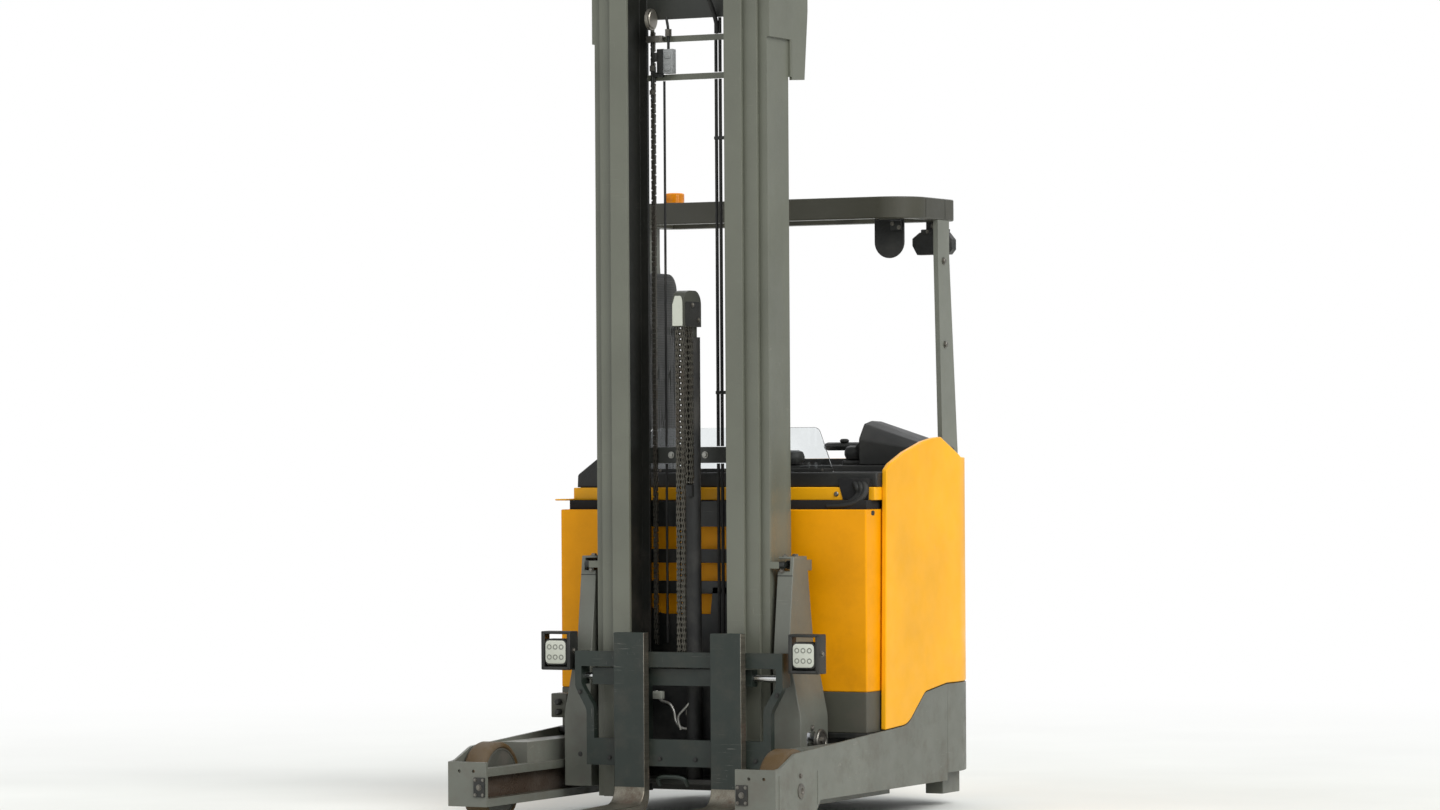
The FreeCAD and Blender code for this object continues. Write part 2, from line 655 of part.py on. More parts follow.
def base_frame():
    """Battery deck, drive cage and hole for the drive wheel."""
    deck_top = S.deck_low + S.deck_thick
    side = S.half_width - S.arm_plate
    rear = back(S.rear_behind) - S.arm_plate
    hub_y = back(S.wheelbase - S.axle_ahead)
    plate = prism("deck_plate", "XY", [(-side, FRONT), (-side, rear), (side, rear), (side, FRONT)],
                  S.deck_low, deck_top, rounds=[((1, 2), S.rear_round - S.arm_plate)])
    well = rod("deck_well", "Z", (S.drive_x, hub_y, S.deck_low - 5),
               S.steer_ring_radius + S.deck_thick * 2 - 5, S.deck_thick + 10)
    deck = cut("deck_open", plate, [well])
    cage_low = S.steer_ring_low + S.steer_ring_height
    reach = S.steer_ring_radius + S.deck_thick * 2
    drum = rod("cage_drum", "Z", (S.drive_x, hub_y, S.deck_low), reach + 5,
               cage_low + S.deck_thick - S.deck_low)
    inside = rod("cage_inside", "Z", (S.drive_x, hub_y, S.deck_low - 5), reach - 5,
                 cage_low - S.deck_low + 5)
    cage = cut("cage", drum, [inside])
    return fuse("base_frame_part", [deck, cage])


def rear_skirt():
    """Grey skirt that wraps the rear from seam to seam."""
    side, rear = S.half_width, back(S.rear_behind)
    seam, wall = back(S.skirt_seam) + S.panel_gap, S.arm_plate
    points = [
        (-side, seam), (-side, rear), (side, rear), (side, seam),
        (side - wall, seam), (side - wall, rear - wall), (wall - side, rear - wall),
        (wall - side, seam),
    ]
    return prism("rear_skirt_part", "XY", points, S.rear_skirt_low, S.skirt_rear_top,
                 rounds=[((1, 2), S.rear_round), ((5, 6), S.rear_round - wall)])


def stabiliser_feet():
    """Two feet under the rear corners that keep the truck from rocking."""
    right = box("foot_right", (S.half_width - S.foot_width * 2, back(S.rear_behind) - S.foot_ahead,
                               S.foot_low),
                (S.half_width - S.foot_width, back(S.rear_behind) - S.foot_ahead + S.foot_length,
                 S.deck_low))
    return group("stabiliser_feet_part", [right, mirrored("foot_left", right)])


def battery_case():
    """Grey lower case of the battery."""
    half = BATTERY_HALF
    return prism("battery_case_part", "XY",
                 [(-half, FRONT), (-half, back(S.battery_depth)), (half, back(S.battery_depth)),
                  (half, FRONT)], S.battery_low, S.battery_split,
                 rounds=[((0, 1, 2, 3), S.battery_edge)])


def battery():
    """Yellow upper case of the battery, a heavy plain block."""
    half = BATTERY_HALF
    return prism("battery_part", "XY",
                 [(-half, FRONT), (-half, back(S.battery_depth)), (half, back(S.battery_depth)),
                  (half, FRONT)], S.battery_split, S.battery_top,
                 rounds=[((0, 1, 2, 3), S.battery_edge)])


# ---- body panels ---------------------------------------------------------------------------

def panel_plan(label, low, high):
    """Side panel and rear corner in plan."""
    side, rear, wall = S.half_width, back(S.rear_behind), S.panel_wall
    points = [
        (side, back(S.panel_front)), (side, rear), (PANEL_SPLIT, rear),
        (PANEL_SPLIT, rear - wall), (side - wall, rear - wall), (side - wall, back(S.panel_front)),
    ]
    return prism(label + "_plan", "XY", points, low, high,
                 rounds=[((1,), S.rear_round), ((4,), S.rear_round - wall)])


def panel_side(label, top):
    """Side view of a panel: its foot follows the skirt's hump with a joint's width between."""
    gap = S.panel_gap
    rear = back(S.rear_behind) + 20
    shoulder = S.arm_box_top - 4
    share = (S.panel_front + S.arm_front - 150) / (S.skirt_rise_start + S.arm_front - 150)
    points = [
        (back(S.panel_front), shoulder + (S.skirt_low_top - shoulder) * share + gap),
        *skirt_top(gap),
        (back(S.skirt_seam), S.skirt_rear_top + gap),
        (rear, S.skirt_rear_top + gap),
        *top(rear),
    ]
    return prism(label + "_side", "YZ", points, 0, S.half_width + 20,
                 rounds=[((1,), S.skirt_foot_round), ((2,), S.skirt_head_round)])


def side_panel_right():
    """Closed yellow side with its arched top, round to the rear door."""
    def top(rear):
        run = S.panel_peak - S.panel_front
        rise = S.panel_peak_top - S.panel_front_top
        arch = [(back(S.panel_front) + run * along, S.panel_front_top + rise * up)
                for along, up in ((0.88, 0.98), (0.68, 0.86), (0.36, 0.54), (0.185, 0.29),
                                  (0.12, 0.2), (0.045, 0))]
        return [
            (rear, S.panel_rear_top),
            (back(S.panel_peak) + 184, S.panel_rear_top + 4),
            (back(S.panel_peak), S.panel_peak_top), *arch,
        ]
    plan = panel_plan("side_panel_right", S.panel_low - 20, S.panel_peak_top + 20)
    return common("side_panel_right_part", plan, panel_side("side_panel_right", top))


def side_panel_left():
    """Open side: a front part with its low nose, and the sill of the entry round the corner."""
    def top(rear):
        return [(rear, S.panel_rear_top), (back(S.panel_front), S.panel_rear_top)]
    plan = panel_plan("side_panel_left", S.panel_low - 20, S.panel_peak_top + 20)
    whole = common("side_panel_left_whole", plan, panel_side("side_panel_left", top))
    entry = box("side_panel_left_entry",
                (PANEL_SPLIT - 20, back(S.entry_front), S.entry_sill),
                (S.half_width + 20, back(S.rear_behind) + 20, S.panel_rear_top + 20))
    front = box("side_panel_left_front",
                (S.half_width - S.panel_wall - 20, back(S.panel_front) - 20, S.battery_top),
                (S.half_width + 20, back(S.left_low_rear), S.panel_rear_top + 20))
    opened = cut("side_panel_left_open", whole, [entry, front])
    return mirrored("side_panel_left_part", opened)


def rear_door():
    """Yellow door across the rear with a row of cooling slots."""
    half, rear = PANEL_SPLIT - S.panel_gap, back(S.rear_behind)
    lip = box("rear_door_lip", (20 - half, rear - S.panel_wall + 4, S.skirt_rear_top),
              (half - 20, rear - 4, S.skirt_rear_top + S.panel_gap))
    door = box("rear_door_leaf", (-half, rear - S.panel_wall, S.skirt_rear_top + S.panel_gap),
               (half, rear, S.panel_rear_top))
    slots = [box(f"rear_door_slot{index}",
                 (-half / 2, rear - S.panel_wall - 5, S.floor_top + 60 + index * 36),
                 (half / 2, rear + 5, S.floor_top + 74 + index * 36)) for index in range(6)]
    return cut("rear_door_part", fuse("rear_door_whole", [door, lip]), slots)


# ---- driver's compartment ------------------------------------------------------------------

def compartment_inside():
    """Half the clear width between the side panels."""
    return S.half_width - S.panel_wall


def bulkhead():
    """Wall between the battery and the driver."""
    half = compartment_inside()
    return box("bulkhead_part", (-half, back(S.wall_y), S.battery_low),
               (half, back(S.wall_y) + S.bulkhead, S.lid_top))


def driver_floor():
    """Floor plate that leaves room for the drive motor's cover."""
    half, rear = compartment_inside(), back(S.rear_behind) - S.panel_wall - 5
    front, step = back(S.wall_y) + S.bulkhead, back(S.motor_cover_front)
    return prism("driver_floor_part", "XY",
                 [(-half, front), (-half, rear), (-S.motor_cover, rear), (-S.motor_cover, step),
                  (S.desk_left, step), (S.desk_left, front)],
                 S.floor_top - S.floor_thick, S.floor_top,
                 rounds=[((1,), S.rear_round - S.panel_wall)])


def battery_lid():
    """Yellow lid over the battery with the catch at its left end."""
    wall = S.screen_thick
    right = compartment_inside()
    low, high = (-LID_LEFT, back(S.lid_front), S.lid_low), (right, back(S.wall_y), S.lid_top)
    outer = box("lid_outer", low, high)
    inner = box("lid_inner", (low[0] + wall, low[1] + wall, low[2] - 5),
                (right - wall, high[1] + 5, S.lid_top - wall))
    tongue = box("lid_tongue_plate",
                 (-LID_LEFT - S.lid_tongue, ahead(5), S.lid_low),
                 (wall - LID_LEFT, back(S.lid_front) + S.lid_tongue_depth, S.lid_low + wall))
    return fuse("battery_lid_part", [cut("lid_shell", outer, [inner]), tongue])


def console():
    """Black console over the lid, higher at its left end."""
    right = compartment_inside()
    foot, shoulder = S.console_in - LID_LEFT, S.console_shoulder - LID_LEFT
    points = [
        (foot, S.lid_top), (right, S.lid_top), (right, S.console_top),
        (shoulder + 130, S.console_top), (shoulder + 90, S.console_rise),
        (shoulder, S.console_rise), (foot, S.lid_top + 12),
    ]
    return prism("console_part", "XZ", points, back(S.lid_front) + 18, back(S.wall_y) + S.bulkhead,
                 rounds=[((3, 4, 5), S.tyre_round)])


def instrument_hood():
    """Rounded hood on the desk that rises behind the right panel's arch, round the post."""
    right = compartment_inside() - S.panel_gap
    front, rear, top = back(S.hood_front), back(S.hood_rear), HOOD_TOP
    points = [
        (front, S.desk_top), (front, top - 66), (front + 47, top - 11), (front + 107, top),
        (front + 187, top - 2), (rear - 60, top - 38), (rear, top - 61), (rear, S.desk_top),
    ]
    block = prism("hood_block", "YZ", points, right - S.hood_left, right,
                  rounds=[((1, 2, 3), S.steer_rim * 2), ((6,), S.steer_rim * 3)])
    return cut("instrument_hood_part", block, [NODES["guard_posts"]])


def steering_desk():
    """Hollow desk beside the driver, one piece with the lower cover over the drive motor."""
    wall, right = S.floor_thick, compartment_inside()
    left, front = S.desk_left, back(S.wall_y) + S.bulkhead
    rear, low = back(S.rear_behind) - S.panel_wall - 10, S.floor_top - S.floor_thick
    step = back(S.motor_cover_front)
    cover_top = (S.steer_ring_low + S.steer_ring_height + S.deck_thick + S.motor_height +
                 S.motor_cover_gap + wall)
    shells = []
    for name, inset, drop in (("outer", 0, 0), ("inner", wall, 5)):
        points = [
            (left + inset, front + inset), (right - inset, front + inset),
            (right - inset, rear - inset), (left + inset, rear - inset),
        ]
        desk = prism(f"desk_{name}", "XY", points, low - drop, S.desk_top - inset,
                     rounds=[((2,), S.rear_round - S.panel_wall - 5 - inset)])
        cover = box(f"desk_cover_{name}", (inset - S.motor_cover, step + inset, low - drop),
                    (left + inset + 1, rear - inset, cover_top - inset))
        shells.append(fuse(f"desk_{name}_whole", [desk, cover]))
    return cut("steering_desk_part", shells[0], [shells[1]])


def handwheel():
    """Small steering handwheel with its knob on the desk."""
    x, y = S.desk_left + S.steer_radius - 15, back(S.panel_peak) + 60
    z = S.desk_top
    stem = rod("handwheel_stem", "Z", (x, y, z), S.steer_rim * 2, S.steer_pad + 7)
    disc = rod("handwheel_disc", "Z", (x, y, z + S.steer_pad), S.steer_radius - S.steer_rim * 2 + 2,
               S.steer_rim)
    middle, half = S.steer_radius - S.steer_rim, S.steer_rim
    rim = turned("handwheel_rim", "Z", (x, y, z + S.steer_pad + 6), [
        (middle - half, 0), (middle - half / 2, -half), (middle + half / 2, -half),
        (middle + half, 0), (middle + half / 2, half), (middle - half / 2, half),
    ])
    knob = rod("handwheel_knob", "Z", (x - S.steer_radius * 0.75, y, z + S.steer_pad + 6),
               S.steer_rim * 1.6, 45)
    return fuse("handwheel_part", [stem, disc, rim, knob])


def seat_base():
    """Box that carries the seat."""
    return box("seat_base_part", (-SEAT_REAR, back(S.seat_y) - S.seat_width / 2 + 30, S.floor_top),
               (S.back_thick - SEAT_REAR + S.seat_depth - 60, back(S.seat_y) - 60 + S.seat_width / 2,
                S.seat_top - S.seat_thick))


def seat_cushion():
    """Seat cushion, a soft closed solid."""
    x, y = S.back_thick - SEAT_REAR + 2, back(S.seat_y) - S.seat_width / 2
    return prism("seat_cushion_part", "XY",
                 [(x, y), (x + S.seat_depth, y), (x + S.seat_depth, y + S.seat_width),
                  (x, y + S.seat_width)], S.seat_top - S.seat_thick, S.seat_top,
                 rounds=[((1, 2), S.back_thick / 2)])


def backrest():
    """Tall backrest, one width up to its rounded head."""
    y, half = back(S.seat_y), S.back_width / 2
    low = S.seat_top - S.seat_thick
    return prism("backrest_part", "YZ", [
        (y - half, low), (y + half, low), (y + half, S.back_top), (y - half, S.back_top),
    ], -SEAT_REAR, S.back_thick - SEAT_REAR, rounds=[((2, 3), S.back_thick * 0.7)])


def screen():
    """Clear screen that stands on the console."""
    points = [
        (-S.screen_left, S.console_top), (S.screen_right, S.console_top),
        (S.screen_right - S.screen_slope, S.console_top + S.screen_height),
        (-S.screen_left, S.console_top + S.screen_height),
    ]
    return prism("screen_part", "XZ", points, back(S.screen_y), back(S.screen_y) + S.screen_thick,
                 rounds=[((2, 3), S.battery_edge * 4)])


# ---- overhead guard ------------------------------------------------------------------------

def overhead_guard():
    """Rim and lengthways bars of the guard."""
    half, rim = GUARD_HALF, S.guard_rim
    front, rear, low = back(S.guard_front), back(S.guard_rear), GUARD_LOW
    outer = prism("guard_outer", "XY", [(-half, front), (half, front), (half, rear), (-half, rear)],
                  low, S.guard_top, rounds=[((0, 1), S.guard_round), ((2, 3), rim)])
    inner = prism("guard_inner", "XY",
                  [(rim - half, front + rim), (half - rim, front + rim), (half - rim, rear - rim),
                   (rim - half, rear - rim)], low - 5, S.guard_top + 5,
                  rounds=[((0, 1), S.guard_round - rim)])
    ring = cut("guard_ring", outer, [inner])
    count = int(S.guard_bars.number)
    bars = []
    for index in range(count):
        middle = GUARD_PITCH * (index - (count - 1) / 2)
        bars.append(box(f"guard_bar{index}",
                        (middle - S.guard_bar / 2, front + rim - 1, low + 20),
                        (middle + S.guard_bar / 2, rear - rim + 1, S.guard_top - 20)))
    return fuse("overhead_guard_part", [ring, *bars])


def guard_posts():
    """Two tapering plates that carry the guard: the right one on the desk, the left on the floor."""
    front, rear = back(S.post_low_front), back(S.post_low_rear)
    points = [
        (front, S.desk_top), (rear, S.desk_top), (back(S.post_top_rear), S.post_bend),
        (back(S.post_top_rear), GUARD_LOW), (back(S.post_top_front), GUARD_LOW),
        (back(S.post_top_front), S.post_bend),
    ]
    right = prism("post_right", "YZ", points, GUARD_HALF - S.post_thick, GUARD_HALF)
    leg = box("post_leg", (-GUARD_HALF, front, S.floor_top),
              (S.post_thick - GUARD_HALF, rear, S.desk_top + 1))
    left = fuse("post_left", [mirrored("post_left_blade", right), leg])
    return group("guard_posts_part", [right, left])


def guard_fittings():
    """Mirror and lamp that hang from the right-hand side of the guard."""
    y, left, low = back(S.mirror_y), GUARD_PITCH * 2, S.mirror_low
    glass = prism("mirror_plate", "XZ", [
        (left, GUARD_LOW), (left, low), (left + S.mirror_width, low),
        (left + S.mirror_width, GUARD_LOW),
    ], y, y + S.mirror_thick, rounds=[((1, 2), S.mirror_width / 2 - 4)])
    stem = box("mirror_stem", (left, y, GUARD_LOW - 10),
               (left + S.guard_bar / 2, y + S.mirror_thick, GUARD_LOW + 20))
    rear = back(S.guard_rear)
    lamp_left, lamp_top = GUARD_HALF - S.cab_lamp_in, S.cab_lamp_low + S.cab_lamp_height
    case = box("cab_lamp_case", (lamp_left, rear - S.cab_lamp_depth, S.cab_lamp_low),
               (lamp_left + S.cab_lamp_width, rear, lamp_top))
    arm = box("cab_lamp_arm", (lamp_left + 50, rear - 30, lamp_top - 1),
              (lamp_left + 114, rear - 18, GUARD_LOW))
    return group("guard_fittings_part", [fuse("mirror", [glass, stem]),
                                         fuse("cab_lamp", [case, arm])])


def beacon():
    """Amber beacon on the guard's left bar."""
    centre = (GUARD_PITCH * -2, back(S.beacon_y), S.guard_top - 20)
    return rod("beacon_part", "Z", centre, S.beacon_radius, S.beacon_height + 20)


# ---- reach carriage ------------------------------------------------------------------------

def cheek(label):
    """Upright cheek that carries the mast: its front view crossed with its side view."""
    inner = S.cheek_inner
    front_view = prism(label + "_front_view", "XZ", [
        (inner, S.cheek_low), (CHEEK_FOOT, S.cheek_low), (CHEEK_FOOT, S.pivot_high + 90),
        (S.cheek_outer, S.pivot_high + S.cheek_shoulder), (S.cheek_outer, S.cheek_top), (inner, S.cheek_top),
    ], ahead(S.cheek_front) - 20, ahead(0), rounds=[((2, 3), S.load_radius)])
    side_view = prism(label + "_side_view", "YZ", [
        (ahead(S.cheek_front), S.cheek_low), (ahead(S.cheek_rear), S.cheek_low),
        (ahead(S.cheek_rear), S.pivot_high + 260), (ahead(S.cheek_top_rear), S.cheek_top),
        (ahead(S.cheek_top_front), S.cheek_top), (ahead(S.cheek_front), S.pivot_high + 260),
    ], inner - 20, CHEEK_FOOT + 20, rounds=[((2, 5), S.load_radius)])
    bore = rod(label + "_bore", "X", (inner - 5, ahead(S.pivot_ahead), S.pivot_high),
               S.pivot_radius + S.pin_gap, CHEEK_FOOT - inner + 10)
    slot = box(label + "_slot", (inner - 5, ahead(S.cheek_front) - 5, S.tilt_high - 22),
               (S.cheek_outer - 14, ahead(0), S.cheek_top - 8))
    block = common(label + "_block", front_view, side_view)
    opened = cut(label + "_opened", block, [bore, slot])
    lug = box(label + "_lug", (S.cheek_outer - 14, ahead(S.tilt_pin_y) - 45, S.tilt_high - 22),
              (S.cheek_outer, ahead(S.tilt_pin_y) + 16, S.tilt_high + 16))
    pin = rod(label + "_tilt_pin", "X", (S.tilt_x - 10, ahead(S.tilt_pin_y), S.tilt_high),
              S.tilt_pin, S.cheek_outer - S.tilt_x)
    return fuse(label + "_part", [opened, lug, pin])


def tilt_barrel(label):
    """Tilt cylinder on its rear pin in the cheek's head."""
    x, y, z = S.tilt_x, ahead(S.tilt_pin_y), S.tilt_high
    eye = rod(label + "_eye", "X", (x - 8, y, z), S.tilt_barrel - 1, 16)
    tube = rod(label + "_tube", "Y", (x, y - 102, z), S.tilt_barrel, 92)
    bore = rod(label + "_bore", "Y", (x, y - 110, z), S.tilt_rod + S.running_gap, 88)
    hole = rod(label + "_hole", "X", (x - 20, y, z), S.tilt_pin + S.pin_gap, 40)
    return cut(label + "_part", fuse(label + "_whole", [eye, tube]), [bore, hole])


def tilt_rod(label):
    """Rod of the tilt cylinder with the eye on the mast's pin."""
    x, y, z = S.tilt_x, ahead(S.tilt_eye_y), S.tilt_high
    eye = rod(label + "_eye", "X", (x - 9, y, z), S.tilt_barrel - 3, 18)
    stem = rod(label + "_stem", "Y", (x, y + 8, z), S.tilt_rod, 80)
    hole = rod(label + "_hole", "X", (x - 20, y, z), S.tilt_pin + 0.6, 40)
    return cut(label + "_part", fuse(label + "_whole", [eye, stem]), [hole])


def carriage_frame():
    """Cross beam behind the mast and the side rails that carry the rollers."""
    front = ahead(S.cheek_rear)
    beam = box("carriage_beam", (-RAIL_INNER, front, S.cheek_low), (RAIL_INNER, front + S.beam_depth,
                                                                    S.rail_high))
    right = box("carriage_rail", (RAIL_INNER, front, S.cheek_low),
                (CHEEK_FOOT, back(S.rail_rear), S.rail_high))
    return fuse("carriage_frame_part", [beam, right, mirrored("carriage_rail_left", right)])


def reach_rollers():
    """Four rollers in the arms' channels."""
    z = S.channel_low + S.channel_flange + S.channel_gap / 2
    solids = []
    for name, y in (("front", back(S.roller_front)), ("rear", back(S.roller_rear))):
        stub = roller(f"roller_{name}_stub", (CHEEK_FOOT, y, z), S.roller_radius / 2, 18)
        wheel = roller(f"roller_{name}_wheel", (CHEEK_FOOT + 16, y, z),
                    S.roller_radius, S.roller_width)
        right = fuse(f"roller_{name}_right", [stub, wheel])
        solids += [right, mirrored(f"roller_{name}_left", right)]
    return group("reach_rollers_part", solids)


def reach_rod():
    """Rod of the reach cylinder on the carriage's beam."""
    start = ahead(S.cheek_rear) + S.beam_depth
    return rod("reach_rod_part", "Y", (S.reach_x, start, S.reach_z), S.reach_rod,
               S.reach_travel + S.cheek_front / 2)


def reach_cylinder():
    """Barrel of the reach cylinder hung under the battery deck."""
    x, start = S.reach_x, ahead(S.cheek_rear) + S.beam_depth + S.reach_start
    length = S.reach_travel + S.cheek_front / 2 + 20
    barrel = rod("reach_barrel_tube", "Y", (x, start, S.reach_z), S.reach_barrel, length)
    hangers = [box(f"reach_hanger{index}", (x - 30, start + offset, S.reach_z),
                   (x + 30, start + offset + 20, S.deck_low)) for index, offset in
               enumerate((60, length - 60))]
    bore = rod("reach_barrel_bore", "Y", (x, start - 5, S.reach_z), S.reach_rod + S.running_gap,
               length - 15)
    return cut("reach_cylinder_part", fuse("reach_barrel_whole", [barrel, *hangers]), [bore])


# ---- mast ----------------------------------------------------------------------------------

def channel(label, lip, web_in, outer, stage, low, high):
    """One upright: an I section of web and two flanges, right-hand side."""
    rear = ahead(S.mast_rear + S.mast_step * stage)
    front = rear - S.mast_depth
    web_out = web_in + S.mast_web
    points = [
        (lip, front), (outer, front), (outer, front + S.mast_flange),
        (web_out, front + S.mast_flange), (web_out, rear - S.mast_flange),
        (outer, rear - S.mast_flange), (outer, rear), (lip, rear),
        (lip, rear - S.mast_flange), (web_in, rear - S.mast_flange),
        (web_in, front + S.mast_flange), (lip, front + S.mast_flange),
    ]
    if abs(Dim.of(web_out).number - Dim.of(outer).number) < 1e-6:
        points = points[:2] + points[6:]
    return prism(label, "XY", points, low, high)


def tie(label, lip, stage, low, height):
    """Cross tie between the rear flanges of one stage."""
    rear = ahead(S.mast_rear + S.mast_step * stage)
    return box(label, (-lip, rear - S.tie_thick, low), (lip, rear, low + height))


def outer_mast():
    """Fixed stage: two channels, cross ties and the pivot pins."""
    top = S.mast_top - 50
    right = channel("outer_upright", S.outer_lip, S.outer_half - S.mast_web, S.outer_half, 0,
                    S.mast_low, top)
    ties = [tie(f"outer_tie{index}", S.outer_lip, 0, low, S.tie_height)
            for index, low in enumerate((S.mast_low + 20, S.battery_split, S.battery_top - 60,
                                         top - S.tie_height))]
    pin = rod("pivot_pin", "X", (S.outer_half, ahead(S.pivot_ahead), S.pivot_high),
              S.pivot_radius, CHEEK_FOOT - S.outer_half + 6)
    y, z = ahead(S.tilt_eye_y), S.tilt_high
    lug = box("tilt_lug", (S.outer_half - 1, y - 12, z - 12), (S.tilt_x - 9, y + 12, z + 12))
    lug_pin = rod("tilt_lug_pin", "X", (S.tilt_x - 10, y, z), S.tilt_pin, 20)
    seat_y = cylinder_y()
    seat = box("lift_seat", (S.outer_lip, seat_y - 20, S.mast_low),
               (S.outer_half - 1, seat_y + 20, S.mast_low + 20))
    step, tail = ahead(S.top_plate_step), back(S.top_plate_rear)
    tail_low = S.top_plate_low - S.top_plate_drop
    plate = prism("mast_top_plate", "YZ", [
        (ahead(S.mast_rear + S.mast_depth), S.top_plate_low), (step - 5, S.top_plate_low),
        (step - 5, tail_low), (tail - 28, tail_low + 7),
        (tail, tail_low + 250), (tail, top), (ahead(S.mast_rear + S.mast_depth), top),
    ], S.outer_half - 1, S.outer_half + S.top_plate)
    one_side = [right, pin, lug, lug_pin, seat, plate]
    other = [mirrored(piece.Name + "_left", piece) for piece in one_side]
    return fuse("outer_mast_part", [*one_side, *other, *ties])


def cylinder_y():
    """Plane of the two lift cylinders inside the outer stage."""
    return ahead(S.mast_rear + S.mast_flange * 2 + 43)


def stage_rollers(label, web, reach, front, radius, low):
    """Guide rollers at a stage's foot that run behind the front flange of the stage outside."""
    y = front + S.mast_flange + radius + S.running_gap
    stub = roller(label + "_stub", (web, y, low), radius / 2, 8)
    wheel = roller(label + "_wheel", (web + 6, y, low), radius, reach - web - 8)
    right = fuse(label + "_right", [stub, wheel])
    return group(label + "_part", [right, mirrored(label + "_left", right)])


def middle_rollers():
    """Rollers of the middle stage in the outer stage."""
    return stage_rollers("middle_rollers", S.middle_web_x + S.mast_web,
                         S.outer_half - S.mast_web,
                         ahead(S.mast_rear + S.mast_depth), S.guide_radius, 180.0)


def inner_rollers():
    """Rollers of the inner stage in the middle stage."""
    return stage_rollers("inner_rollers", S.inner_web_x + S.mast_web, S.middle_web_x,
                         ahead(S.mast_rear + S.mast_step + S.mast_depth), S.stage_roller, 260.0)


def lift_cylinders():
    """Two slim lift barrels in the outer mast's channels."""
    y = cylinder_y()
    tube = rod("lift_tube", "Z", (S.lift_x, y, S.mast_low + 20), S.lift_barrel,
               S.mast_top - S.mast_low - S.lift_tube_short)
    bore = rod("lift_tube_bore", "Z", (S.lift_x, y, S.mast_low + 40), S.lift_bore,
               S.mast_top - S.mast_low)
    right = cut("lift_cylinder_right", tube, [bore])
    return group("lift_cylinders_part", [right, mirrored("lift_cylinder_left", right)])


def middle_mast():
    """Second stage with its cross ties."""
    top = S.mast_top - 25
    right = channel("middle_upright", S.middle_lip, S.middle_web_x, S.middle_half, 1,
                    S.mast_low, top)
    cap = box("middle_cap", (S.middle_web_x, ahead(S.mast_rear + S.mast_depth), top - 16),
              (S.lift_x + S.lift_barrel, ahead(S.mast_rear + S.mast_step + 60), top))
    ties = [tie(f"middle_tie{index}", S.middle_lip, 1, low, S.tie_height)
            for index, low in enumerate((S.mast_low + 40, top - S.tie_height))]
    return fuse("middle_mast_part", [right, cap, mirrored("middle_upright_left", right),
                                     mirrored("middle_cap_left", cap), *ties])


def lift_rods():
    """Chromed rods from the lift barrels to the middle stage's caps."""
    y = cylinder_y()
    top = S.mast_top - 25 - 16
    right = rod("lift_rod_right", "Z", (S.lift_x, y, top - S.stage_travel - 350), S.lift_rod,
                S.stage_travel + 350)
    return group("lift_rods_part", [right, mirrored("lift_rod_left", right)])


def inner_mast():
    """Third stage, which carries the fork carriage and the free lift cylinder."""
    right = channel("inner_upright", S.inner_lip, S.inner_web_x, S.inner_half, 2,
                    S.mast_low + 15, S.mast_top)
    ties = [tie(f"inner_tie{index}", S.inner_lip, 2, low, height)
            for index, (low, height) in enumerate(((S.mast_low + 20, S.tie_height),
                                                   (1257.0, 57.0), (2617.0, 21.0), (2753.0, 21.0),
                                                   (2834.0, S.tie_height)))]
    foot = box("inner_foot", (-S.inner_lip, ahead(S.mast_rear + S.mast_step * 2 + 150),
                              S.mast_low + 50),
               (S.inner_lip, ahead(S.mast_rear + S.mast_step * 2), S.mast_low + 68))
    return fuse("inner_mast_part", [right, mirrored("inner_upright_left", right), *ties, foot])


def free_lift_axis():
    """Place of the free lift cylinder's axis."""
    return S.free_x, ahead(S.mast_rear + S.mast_step * 2 + 111)


def free_lift_cylinder():
    """Barrel of the free lift cylinder with the chain's anchor lug."""
    x, y = free_lift_axis()
    low = S.mast_low + 68
    tube = rod("free_tube", "Z", (x, y, low), S.free_barrel, S.free_top - low)
    left = S.head_left + S.head_width / 2 - S.chain_width / 2
    chain_y = ahead(S.sheave_ahead) + S.sheave_radius
    lug = box("chain_lug", (left, chain_y - 2, S.chain_anchor - 40),
              (left + S.chain_width, y - S.free_bore - 1, S.chain_anchor))
    bore = rod("free_tube_bore", "Z", (x, y, low + 20), S.free_bore, S.free_top)
    return cut("free_lift_cylinder_part", fuse("free_tube_whole", [tube, lug]), [bore])


def free_lift_rod():
    """Rod of the free lift with the hooded head that carries the sheave."""
    x, y = free_lift_axis()
    stem_low = S.free_top - S.carriage_travel / 2 - S.free_guide
    left, right = S.head_left, S.head_left + S.head_width
    front, rear, top = ahead(S.head_front), ahead(S.head_rear), S.free_head_top
    stem = rod("free_stem", "Z", (x, y, stem_low), S.free_rod, top - S.head_wall - stem_low + 1)
    hood = prism("head_outer", "YZ", [(front, S.head_low), (front, top), (rear, top),
                                      (rear, S.head_low)], left, right,
                 rounds=[((1, 2), S.head_round)])
    wall = S.head_wall
    inside = prism("head_inner", "YZ", [
        (front + wall, S.head_low - 5), (front + wall, top - wall), (rear - wall, top - wall),
        (rear - wall, S.head_low - 5),
    ], left + wall, right - wall, rounds=[((1, 2), S.head_round - wall)])
    return fuse("free_lift_rod_part", [stem, cut("head_shell", hood, [inside])])


def chain_sheave():
    """Sheave inside the free lift head, one piece with its axle."""
    middle, half = S.head_left + S.head_width / 2, S.chain_width / 2
    y, z = ahead(S.sheave_ahead), S.free_head_top - S.sheave_drop
    disc = rod("sheave_disc", "X", (middle - half, y, z), S.sheave_radius, S.chain_width)
    axle = rod("sheave_axle", "X", (S.head_left + S.head_wall, y, z), 8,
               S.head_width - S.head_wall * 2)
    return fuse("chain_sheave_part", [disc, axle])


